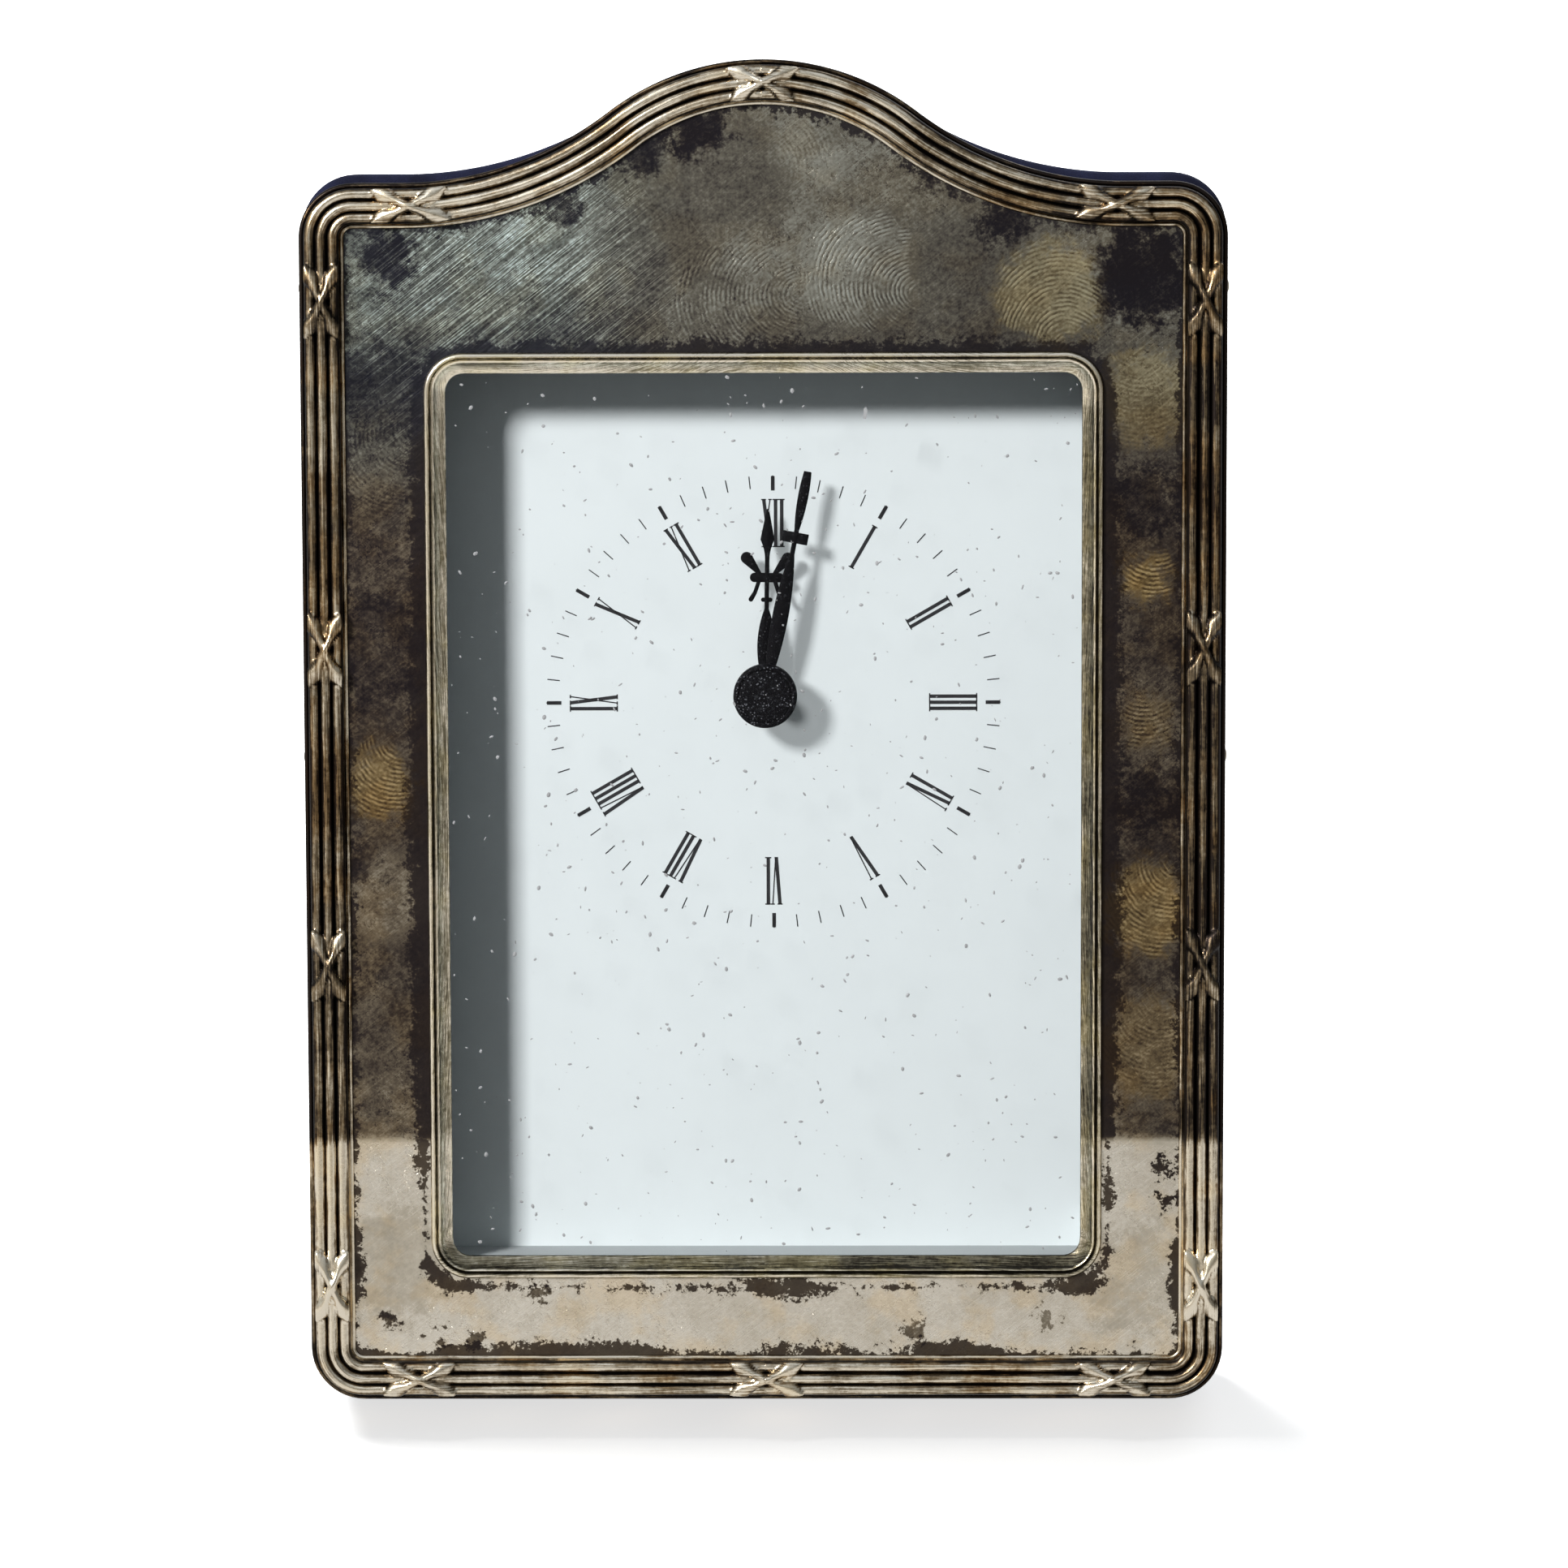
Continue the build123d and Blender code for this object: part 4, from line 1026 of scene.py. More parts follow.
def join(parts: Sequence[Object], name: str) -> Object:
    """Joins objects that sit at the origin into one, of one finish.

    Args:
        parts: The objects.
        name: Name of the result.

    Returns:
        The joined object.
    """
    shape = bmesh.new()
    for part in parts:
        shape.from_mesh(part.data)
        discard(part)
    for face in shape.faces:
        face.material_index = 0
    return from_shape(name, shape)


def ring_faces(columns: int, stations: int, closed: bool) -> list[list[int]]:
    """Faces of a net of closed rings.

    Args:
        columns: Number of rings.
        stations: Points on each.
        closed: Whether the last ring meets the first.

    Returns:
        The faces, ring by ring.
    """
    j = np.arange(columns if closed else columns - 1)[:, None]
    i = np.arange(stations)[None, :]
    k, m = (j + 1) % columns, (i + 1) % stations
    corners = (j * stations + i, j * stations + m, k * stations + m, k * stations + i)
    return np.stack(corners, axis=-1).reshape(-1, 4).tolist()


def capped(name: str, rings: Sequence[np.ndarray], low: float, high: float, angle: float) -> Object:
    """Skins a stack of rings and closes it with a pole at each end.

    Args:
        name: The object's name.
        rings: Points of each ring, in order.
        low: Height of the first pole.
        high: Height of the last pole.
        angle: Angle up to which it is shaded smooth, in degrees.

    Returns:
        The closed object.
    """
    sides, base = len(rings[0]), (len(rings) - 1) * len(rings[0])
    points = np.vstack([*rings, [[0, 0, low], [0, 0, high]]])
    first, last = len(points) - 2, len(points) - 1
    faces = ring_faces(len(rings), sides, False)
    faces += [[first, (i + 1) % sides, i] for i in range(sides)]
    faces += [[last, base + i, base + (i + 1) % sides] for i in range(sides)]
    obj = new_object(name, points, faces)
    face_out(obj)
    smooth(obj, angle)
    return obj


def lathe(name: str, profile: Sequence[Point], sides: int = 48) -> Object:
    """Turns a profile about the third axis.

    Args:
        name: The object's name.
        profile: Radius and height of each ring, from one pole to the other.
        sides: Points on each ring.

    Returns:
        The turned object.
    """
    turn = np.linspace(0, 2 * math.pi, sides, endpoint=False)
    rings = [np.c_[r * np.cos(turn), r * np.sin(turn), np.full(sides, h)] for r, h in profile[1:-1]]
    return capped(name, rings, profile[0][1], profile[-1][1], 35.0)


def prism(name: str, outline: Any, low: float, high: float) -> Object:
    """Raises an outline into a solid.

    Args:
        name: The object's name.
        outline: Points round the outline.
        low: Lower level.
        high: Upper level.

    Returns:
        The solid.
    """
    flat = np.asarray(outline, dtype=float)
    count = len(flat)
    points = np.vstack([np.c_[flat, np.full(count, low)], np.c_[flat, np.full(count, high)]])
    sides = [[i, (i + 1) % count, count + (i + 1) % count, count + i] for i in range(count)]
    obj = new_object(name, points, [list(range(count)), list(range(count, 2 * count)), *sides])
    face_out(obj)
    return obj


def arc(start: Point, middle: Point, end: Point, steps: int = 14) -> np.ndarray:
    """Points on the circle through three points.

    Args:
        start: First point.
        middle: A point between.
        end: Last point.
        steps: Steps along the arc.

    Returns:
        The points.
    """
    (ax, ay), (bx, by), (cx, cy) = start, middle, end
    d = 2 * (ax * (by - cy) + bx * (cy - ay) + cx * (ay - by))
    a2, b2, c2 = ax * ax + ay * ay, bx * bx + by * by, cx * cx + cy * cy
    ox = (a2 * (by - cy) + b2 * (cy - ay) + c2 * (ay - by)) / d
    oy = (a2 * (cx - bx) + b2 * (ax - cx) + c2 * (bx - ax)) / d
    angles = np.unwrap([math.atan2(y - oy, x - ox) for x, y in (start, middle, end)])
    turn = np.linspace(angles[0], angles[2], steps)
    radius = math.hypot(ax - ox, ay - oy)
    return np.c_[ox + radius * np.cos(turn), oy + radius * np.sin(turn)]


def round_hull(circles: Sequence[Place], steps: int = 28) -> np.ndarray:
    """The outline stretched round some circles.

    Args:
        circles: Place and radius of each.
        steps: Points on each circle.

    Returns:
        Points round the outline.
    """
    turn = np.linspace(0, 2 * math.pi, steps, endpoint=False)
    dots = sorted((x + r * math.cos(a), y + r * math.sin(a)) for x, y, r in circles for a in turn)
    halves: list[list[Point]] = []
    for order in (dots, dots[::-1]):
        chain: list[Point] = []
        for p in order:
            while len(chain) > 1 and (
                (chain[-1][0] - chain[-2][0]) * (p[1] - chain[-2][1])
                - (chain[-1][1] - chain[-2][1]) * (p[0] - chain[-2][0])
                <= 1e-9
            ):
                chain.pop()
            chain.append(p)
        halves.append(chain[:-1])
    return np.array(halves[0] + halves[1])


@dataclass
class SubAssembly:
    """Pieces that are built and dressed together on the face."""

    plane: FacePlane
    arbor: float = 87.0
    hinge_height: float = 52.5
    hinge_stand: float = 4.2

    def dress(
        self,
        obj: Object,
        body: Body,
        slot: Slot,
        materials: Iterable[Material] = (),
        replaces: Sequence[str] = (),
    ) -> None:
        """Gives a piece its materials and its body, and hides the nodes that it stands for.

        Args:
            obj: The piece.
            body: The body that it rides on.
            slot: The record's slot; not used.
            materials: Materials, unless the mesh has them already.
            replaces: The nodes that it stands for.
        """
        chosen = list(materials)
        if chosen:
            numbers = np.zeros(len(obj.data.polygons), dtype=np.int32)
            obj.data.polygons.foreach_get("material_index", numbers)
            obj.data.materials.clear()
            for material in chosen:
                obj.data.materials.append(material)
            obj.data.polygons.foreach_set("material_index", numbers)
        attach(obj, body.value)
        if replaces:
            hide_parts(*replaces)
        LOG.info("%s: %d faces on %s", obj.name, len(obj.data.polygons), body.value)

    def coat(self, material: Material, *nodes: str) -> None:
        """Gives carried-over nodes a material.

        Args:
            material: The material.
            *nodes: The nodes.
        """
        for node in nodes:
            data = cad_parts[node].data
            data.materials.clear()
            data.materials.append(material)
            LOG.info("%s: %s", node, material.name)

    def rounded(
        self, node: str, width: float, segments: int, body: Body, slot: Slot, material: Material
    ) -> None:
        """Copies a node, rounds its edges and dresses it in the node's place.

        Args:
            node: The node.
            width: Width of the rounding, in millimetres.
            segments: Faces across it.
            body: The body that it rides on.
            slot: The record's slot.
            material: Its finish.
        """
        shape = bmesh.new()
        shape.from_mesh(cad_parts[node].data)
        bmesh.ops.remove_doubles(shape, verts=shape.verts, dist=1e-6)
        bmesh.ops.dissolve_limit(shape, angle_limit=math.radians(0.5), verts=shape.verts, edges=shape.edges)
        obj = from_shape(f"{node}_body", shape)
        soften(obj, width, segments)
        self.dress(obj, body, slot, (material,), (node,))


@dataclass
class Outline:
    """The bow-topped outline of the front, with an inward direction at each station."""

    width: float = 113.0
    shoulder: float = 150.3
    bow_rise: float = 14.8
    bow_radius: float = 31.0
    bow_half_span: float = 44.0
    corner: float = 6.6
    coarse: float = 0.85
    close: float = 0.26
    tie_reach: float = 5.2
    ties: tuple[Point, ...] = (
        (0.0, 0.0), (43.0, 0.0), (56.5, 14.5), (56.5, 54.5),
        (56.5, 93.5), (56.5, 136.0), (43.0, 150.3), (0.0, 165.1),
    )
    points: np.ndarray = field(init=False)
    inward: np.ndarray = field(init=False)
    along: np.ndarray = field(init=False)
    tie_places: np.ndarray = field(init=False)

    def __post_init__(self) -> None:
        """Walks the right half closely, then keeps stations that crowd at the ribbon ties."""
        walk, turn = self._half()
        length = np.r_[0, np.cumsum(np.hypot(*np.diff(walk, axis=0).T))]
        gaps = [np.hypot(walk[:, 0] - x, walk[:, 1] - u) for x, u in self.ties]
        self.tie_places = np.array([length[int(np.argmin(gap))] for gap in gaps])
        nearest = np.min(np.abs(length[:, None] - self.tie_places[None, :]), axis=1)
        spacing = np.where(nearest < self.tie_reach, self.close, self.coarse)
        count = np.r_[0, np.cumsum(np.diff(length) / spacing[1:])]
        steps = int(round(count[-1]))
        s = np.interp(np.linspace(0, count[-1], steps + 1), count, length)
        x, u = (np.interp(s, length, walk[:, k]) for k in (0, 1))
        a, b = (np.interp(s, length, turn[:, k]) for k in (0, 1))
        size = np.hypot(a, b)
        x[0] = x[-1] = a[0] = a[-1] = 0.0
        left = slice(-2, 0, -1)
        self.points = np.vstack([np.c_[x, u], np.c_[-x, u][left]])
        self.inward = np.vstack([np.c_[a / size, b / size], np.c_[-a / size, b / size][left]])
        self.along = np.r_[s, s[left]]

    def _half(self, step: float = 0.05) -> tuple[np.ndarray, np.ndarray]:
        """Walks the right half from the foot to the apex.

        Args:
            step: Distance between points.

        Returns:
            Points and inward directions.
        """
        half, c = self.width / 2, self.corner
        drop = self.bow_radius - self.bow_rise
        cove = (self.bow_half_span**2 + drop**2 - self.bow_radius**2) / (2 * (self.bow_radius - drop))
        swing = math.degrees(math.atan2(self.bow_half_span, drop + cove))
        runs: list[tuple[np.ndarray, np.ndarray]] = []

        def line(start: Point, end: Point, inward: Point) -> None:
            """Adds a straight run."""
            count = max(2, int(math.dist(start, end) / step))
            runs.append((np.linspace(start, end, count, endpoint=False), np.tile(inward, (count, 1))))

        def bend(centre: Point, radius: float, start: float, sweep: float, sign: float) -> None:
            """Adds an arc.

            Args:
                centre: Its centre.
                radius: Its radius.
                start: Angle of its first point, in degrees.
                sweep: Degrees that it turns.
                sign: 1 where inward is towards the centre, or else -1.
            """
            count = max(2, int(abs(math.radians(sweep)) * radius / step))
            angles = np.radians(start + np.linspace(0, sweep, count, endpoint=False))
            ray = np.c_[np.cos(angles), np.sin(angles)]
            runs.append((np.asarray(centre) + radius * ray, -sign * ray))

        line((0, 0), (half - c, 0), (0, 1))
        bend((half - c, c), c, -90, 90, 1)
        line((half, c), (half, self.shoulder - c), (-1, 0))
        bend((half - c, self.shoulder - c), c, 0, 90, 1)
        line((half - c, self.shoulder), (self.bow_half_span, self.shoulder), (0, -1))
        bend((self.bow_half_span, self.shoulder + cove), cove, 270, -swing, -1)
        bend((0, self.shoulder + self.bow_rise - self.bow_radius), self.bow_radius, 90 - swing, swing, 1)
        runs.append((np.array([[0, self.shoulder + self.bow_rise]]), np.array([[0, -1.0]])))
        return np.vstack([run[0] for run in runs]), np.vstack([run[1] for run in runs])

    def ring(self, inset: float) -> np.ndarray:
        """The outline moved inwards by an inset."""
        return self.points + inset * self.inward


@dataclass
class Opening:
    """A rounded rectangle whose points are found by their direction from its middle."""

    width: float
    height: float
    middle: float
    corner: float

    def ring(self, headings: np.ndarray, margin: float = 0.0) -> np.ndarray:
        """Points of the outline, grown by a margin, in the given directions.

        Args:
            headings: Directions from the middle, in radians.
            margin: Growth outwards.

        Returns:
            One point for each direction.
        """
        half, high = self.width / 2 + margin, self.height / 2 + margin
        corner = max(self.corner + margin, 1e-3)
        turn = np.linspace(0, math.pi / 2, 24)
        quarter = np.c_[half - corner + corner * np.cos(turn), high - corner + corner * np.sin(turn)]
        loop = np.vstack([quarter, quarter[::-1] * (-1, 1), -quarter, quarter[::-1] * (1, -1)])
        loop = np.vstack([loop, loop[:1]])
        dense = np.vstack([np.linspace(a, b, 60, endpoint=False) for a, b in zip(loop[:-1], loop[1:])])
        angle = np.arctan2(dense[:, 1], dense[:, 0])
        order = np.argsort(angle)
        found = [np.interp(headings, angle[order], dense[order, k], period=2 * math.pi) for k in (0, 1)]
        return np.c_[found[0], found[1] + self.middle]


@dataclass
class SilverFront(SubAssembly):
    """The pressed silver front: side walls, reeded border with ribbon ties, panel and bezel."""

    outline: Outline = field(default_factory=Outline)
    window: Opening = field(default_factory=lambda: Opening(77.8, 109.3, WINDOW_MIDDLE, 2.2))
    panel_level: float = 18.0
    panel_shine: float = 0.5
    wall_levels: tuple[float, ...] = (12.0, 12.4, 14.0, 16.0, 17.5)
    wall_thickness: float = 0.8
    wall_shine: float = 0.45
    rear_level: float = 17.15
    rear_rings: tuple[Point, ...] = ((1.4, 16.42), (2.0, 17.1))
    rear_shine: float = 0.3
    lip_width: float = 0.66
    lip_rise: float = 0.38
    reed_width: float = 1.42
    reed_rises: tuple[float, float, float] = (1.5, 1.9, 1.5)
    reed_foot: float = 0.92
    fillet_width: float = 0.6
    fillet_rise: float = 0.34
    tie_length: float = 4.9
    tie_angle: float = math.radians(24.0)
    tie_half_width: float = 0.76
    tie_rise: float = 2.45
    tie_droop: float = 0.55
    tie_crown: float = 0.95
    tie_overlap: float = 0.25
    leaf_place: float = 0.68
    leaf_spread: float = 0.22
    tip_from: float = 0.76
    panel_rings: int = 9
    left_run: float = 500.0
    bezel: tuple[Place, ...] = (
        (2.60, 0.00, 0.30), (2.56, 0.28, 0.62), (2.44, 0.52, 0.95), (2.26, 0.68, 1.15),
        (2.06, 0.66, 1.05), (1.92, 0.44, 0.60), (1.84, 0.30, 0.25), (1.74, 0.34, 0.40),
        (1.60, 0.46, 1.05), (1.44, 0.42, 1.00), (1.30, 0.16, 0.55), (1.05, -0.26, 0.76),
        (0.70, -0.68, 0.82), (0.34, -1.00, 0.76), (0.10, -1.14, 0.95), (0.00, -1.26, 0.60),
        (0.00, -1.60, 0.30),
    )

    def border_columns(self) -> np.ndarray:
        """Chooses where the border is measured.

        Returns:
            Distances in from the edge.
        """
        start = self.lip_width
        bends = np.sin(np.radians(np.linspace(-90, 90, 11)))
        reeds = [start + self.reed_width * (k + 0.5) + self.reed_width / 2 * bends for k in range(3)]
        lip = self.lip_width * np.array([0.0, 0.09, 0.27, 0.5, 0.75, 0.93])
        fillet = start + 3 * self.reed_width + self.fillet_width * np.array([0.1, 0.3, 0.55, 0.8, 0.95, 1.0])
        return np.r_[lip, reeds[0], reeds[1][1:], reeds[2][1:], fillet]

    def reeds(self, a: np.ndarray) -> np.ndarray:
        """Measures the plain border.

        Args:
            a: Distances in from the edge.

        Returns:
            Heights above the panel.
        """

        def dome(middle: float, half: float) -> np.ndarray:
            """A half round, one at its middle and none at its feet."""
            return np.sqrt(np.clip(1 - ((a - middle) / half) ** 2, 0, 1))

        height = self.lip_rise * dome(self.lip_width / 2, self.lip_width / 2)
        end = self.lip_width + 3 * self.reed_width
        for number, rise in enumerate(self.reed_rises):
            middle = self.lip_width + self.reed_width * (number + 0.5)
            reed = self.reed_foot + (rise - self.reed_foot) * dome(middle, self.reed_width / 2)
            within = np.abs(a - middle) <= self.reed_width / 2 + 1e-6
            height = np.where(within, np.maximum(height, reed), height)
        return np.maximum(height, self.fillet_rise * dome(end + self.fillet_width / 2, self.fillet_width / 2))

    def ribbons(self, p: np.ndarray, q: np.ndarray) -> tuple[np.ndarray, np.ndarray]:
        """Height of two crossed ribbons above the panel.

        Args:
            p: Distance along the border from the middle of the tie.
            q: Distance across it.

        Returns:
            The height, or less than none where there is no ribbon, and how bright it is worn.
        """
        best = np.full(p.shape, -9.0)
        worn = np.zeros(p.shape)
        for side in (-1, 1):
            along = p * math.cos(self.tie_angle) + side * q * math.sin(self.tie_angle)
            away = -side * p * math.sin(self.tie_angle) + q * math.cos(self.tie_angle)
            reach = np.abs(along) / self.tie_length
            bulge = np.exp(-(((reach - self.leaf_place) / self.leaf_spread) ** 2))
            leaf = self.tie_half_width * (0.75 + 0.75 * bulge)
            tip = np.clip(reach - self.tip_from, 0, None) / (1 - self.tip_from)
            swell = leaf * np.sqrt(np.clip(1 - tip**2, 1e-4, 1))
            dome = np.sqrt(np.clip(1 - (away / swell) ** 2, 0, 1))
            over = self.tie_overlap * np.exp(-((along / 1.1) ** 2)) if side > 0 else 0.0
            height = self.tie_rise - self.tie_droop * reach**2 + over - self.tie_crown * (1 - dome)
            inside = (np.abs(away) < swell) & (reach < 1) & (height > best)
            inside &= np.abs(q) < 1.5 * self.reed_width - 0.02
            best = np.where(inside, height, best)
            worn = np.where(inside, dome, worn)
        return best, worn

    def build(self, panel: Material, border: Material, bezel: Material) -> None:
        """Builds the front as one closed net of rings.

        Args:
            panel: Finish of the flat panel.
            border: Finish of the border and the walls.
            bezel: Finish of the bezel.
        """
        a = self.border_columns()
        along = self.outline.along
        nearest = np.argmin(np.abs(along[:, None] - self.outline.tie_places[None, :]), axis=1)
        p = (along - self.outline.tie_places[nearest])[:, None] + 0 * a[None, :]
        q = 0 * along[:, None] + a[None, :] - self.lip_width - 1.5 * self.reed_width
        plain = np.tile(self.reeds(a), (len(along), 1))
        ribbon, worn = self.ribbons(p, q)
        height = np.maximum(plain, ribbon)
        rises = np.where(np.abs(q) < self.reed_width / 2, self.reed_rises[1], self.reed_rises[0])
        share = np.clip((plain - self.reed_foot) / (rises - self.reed_foot), 0, 1)
        # painted shade: the outer lip is kept dark, for the shade along the frame's edge; the fillet is
        # lighter
        fillet_tone_lip_shade = np.where((plain > 0.1) & (q > 0), 0.54 + 1.9 * (plain - 0.1), 0.2)
        crest = np.where(plain < 0.5, fillet_tone_lip_shade, 0.10 + 0.76 * share**2.4)
        crest = np.where(ribbon > plain, 0.14 + 0.76 * worn**1.5, crest)

        inner = self.outline.ring(a[-1])
        headings = np.arctan2(inner[:, 1] - self.window.middle, inner[:, 0])
        outer = self.window.ring(headings, self.bezel[0][0])
        gap = np.hypot(*(outer - inner).T)
        count = len(along)
        ones = np.ones(count)
        rows: list[tuple[np.ndarray, np.ndarray, np.ndarray, np.ndarray, int]] = []

        def add(flat: np.ndarray, level: Any, shine: Any, zone: Zone, edge: Any = (0.0, 0.0)) -> None:
            """Adds a ring, its shine, its distance from border and bezel, and the zone after it."""
            rows.append((np.c_[flat, level * ones], shine * ones, edge[0] * ones, edge[1] * ones, zone.value))

        for level in self.wall_levels:
            add(self.outline.ring(0.0), level, self.wall_shine, Zone.BORDER)
        levels = self.panel_level + height
        for column, distance in enumerate(a[:-1]):
            add(self.outline.ring(distance), levels[:, column], crest[:, column], Zone.BORDER)
        add(inner, levels[:, -1], crest[:, -1], Zone.PANEL, (0 * gap, gap))
        for step in range(1, self.panel_rings + 1):
            t = step / (self.panel_rings + 1)
            edge = (t * gap, (1 - t) * gap)
            add(inner + t * (outer - inner), self.panel_level, self.panel_shine, Zone.PANEL, edge)
        for margin, rise, shine in self.bezel:
            flat = self.window.ring(headings, margin)
            add(flat, self.panel_level + rise, shine, Zone.BEZEL, (gap, 0 * gap))
        for margin, level in self.rear_rings:
            add(self.window.ring(headings, margin), level, self.rear_shine, Zone.BORDER)
        for level in (self.rear_level, self.wall_levels[0]):
            add(self.outline.ring(self.wall_thickness), level, self.rear_shine, Zone.BORDER)

        rings, crests, from_border, from_bezel, zones = zip(*rows)
        net = np.vstack(rings)
        obj = new_object("silver_shell", net, ring_faces(len(rings), count, True))
        face_zones = np.repeat(np.array(zones, dtype=np.int32), count)
        obj.data.polygons.foreach_set("material_index", face_zones)
        run = along + np.where(self.outline.points[:, 0] < 0, self.left_run, 0.0)
        across = np.hypot(*(net[:, :2] - np.tile(self.outline.points, (len(rings), 1))).T)
        across += np.clip(self.panel_level - net[:, 2], 0, None)
        for label, values in (
            ("crest", np.concatenate(crests)),
            ("run", np.tile(run, len(rings))),
            ("across", across),
            ("from_border", np.concatenate(from_border)),
            ("from_bezel", np.concatenate(from_bezel)),
        ):
            layer = obj.data.attributes.new(label, "FLOAT", "POINT")
            layer.data.foreach_set("value", values.astype(np.float32))
        corners = np.zeros(len(obj.data.loops), dtype=np.int32)
        obj.data.loops.foreach_get("vertex_index", corners)
        flat = net[corners, :2] / MAP_SPAN
        obj.data.uv_layers.new(name="Face").data.foreach_set("uv", flat.astype(np.float32).ravel())
        face_out(obj)
        smooth(obj, 50.0)
        obj.data.transform(self.plane.matrix())
        self.dress(obj, Body.CASE, Slot.SILVER, (panel, border, bezel), ("silver_front",))


@dataclass
class Dial(SubAssembly):
    """The dial's print: minute marks, hour marks and numerals."""

    centre: Point = (0.94, 85.7)
    front: float = 6.0
    ink: float = 0.03
    minute_radius: float = 27.55
    minute_length: float = 1.55
    minute_width: float = 0.13
    hour_radius: float = 27.35
    hour_length: float = 1.8
    hour_width: float = 0.46
    foot_radius: float = 19.4
    numeral_height: float = 6.0
    stem: float = 0.43
    hairline: float = 0.15
    numerals: tuple[str, ...] = ("XII", "I", "II", "III", "IV", "V", "VI", "VII", "VIII", "IX", "X", "XI")

    def letter(self, sign: str) -> tuple[list[list[Point]], float]:
        """Strokes of one letter.

        Args:
            sign: I, V or X.

        Returns:
            Outlines of the strokes, and the letter's width.
        """
        h, w, t = self.numeral_height, self.stem, self.hairline

        def bar(left: float, right: float, level: float) -> list[Point]:
            """A serif."""
            low, high = level - t / 2, level + t / 2
            return [(left, low), (right, low), (right, high), (left, high)]

        def leg(top: float, foot: float, width: float) -> list[Point]:
            """A slanting or upright stroke."""
            return [(foot - width / 2, 0), (foot + width / 2, 0), (top + width / 2, h), (top - width / 2, h)]

        if sign == "I":
            return [leg(0.38, 0.38, w), bar(0.0, 0.76, t / 2), bar(0.0, 0.76, h - t / 2)], 0.76
        if sign == "V":
            strokes = [leg(0.34, 0.80, w), leg(1.24, 0.88, t)]
            return strokes + [bar(0.02, 0.66, h - t / 2), bar(1.0, 1.48, h - t / 2)], 1.42
        strokes = [leg(0.34, 1.10, w), leg(1.14, 0.30, t)]
        serifs = [bar(0.04, 0.64, h - t / 2), bar(0.92, 1.36, h - t / 2)]
        return strokes + serifs + [bar(0.08, 0.52, t / 2), bar(0.80, 1.40, t / 2)], 1.44

    def numeral_ring(self) -> Object:
        """Builds the twelve numerals, feet towards the middle.

        Returns:
            The numerals, face-local.
        """
        parts = []
        for hour, text in enumerate(self.numerals):
            drawn = [self.letter(sign) for sign in text]
            start = -sum(width for _, width in drawn) / 2
            turn = -2 * math.pi * hour / len(self.numerals)
            c, s = math.cos(turn), math.sin(turn)
            spin = np.array(((c, s), (-s, c)))
            for strokes, width in drawn:
                for stroke in strokes:
                    flat = np.array(stroke) + (start, self.foot_radius)
                    parts.append(prism("stroke", flat @ spin, 0.0, self.ink))
                start += width
        return join(parts, "dial_numerals")

    def mark_tree(self) -> NodeTree:
        """Builds the tree that sets marks round a circle.

        Returns:
            The tree.
        """
        tree = NodeTree("dial_marks", ("Radius", "Length", "Width", "Depth"), {"Count": "NodeSocketInt"})
        index = tree.out("GeometryNodeInputIndex")
        turn = tree.math("DIVIDE", tree.times(index, 2 * math.pi), tree.given("Count"))
        across = tree.times(tree.math("SINE", turn), tree.given("Radius"))
        up = tree.times(tree.math("COSINE", turn), tree.given("Radius"))
        lift = tree.times(tree.given("Depth"), 0.5)
        place = tree.vector({0: across, 1: up, 2: lift})
        points = tree.out("GeometryNodePoints", {"Count": tree.given("Count"), "Position": place})
        size = tree.vector({0: tree.given("Width"), 1: tree.given("Length"), 2: tree.given("Depth")})
        mark = tree.out("GeometryNodeMeshCube", {"Size": size})
        rotation = tree.rotation(tree.vector({2: tree.times(turn, -1.0)}))
        tree.close(tree.stand(points, mark, rotation))
        return tree

    def build(self, card: Material, ink: Material) -> None:
        """Builds the print and finishes the plate.

        Args:
            card: Finish of the plate.
            ink: Finish of the print.
        """
        tree = self.mark_tree()
        parts = []
        for count, radius, length, width in (
            (60, self.minute_radius, self.minute_length, self.minute_width),
            (12, self.hour_radius, self.hour_length, self.hour_width),
        ):
            host = new_object("dial_track", [], [])
            sizes = {"Radius": radius, "Length": length, "Width": width, "Depth": self.ink}
            values = {label: size * MM for label, size in sizes.items()}
            tree.run(host, {"Count": count, "Material": ink, **values})
            parts.append(host)
        obj = join([*parts, self.numeral_ring()], "dial_print")
        obj.data.transform(self.plane.matrix(*self.centre, self.front))
        self.dress(obj, Body.CASE, Slot.HANDS, (ink,))
        self.coat(card, "dial_plate")


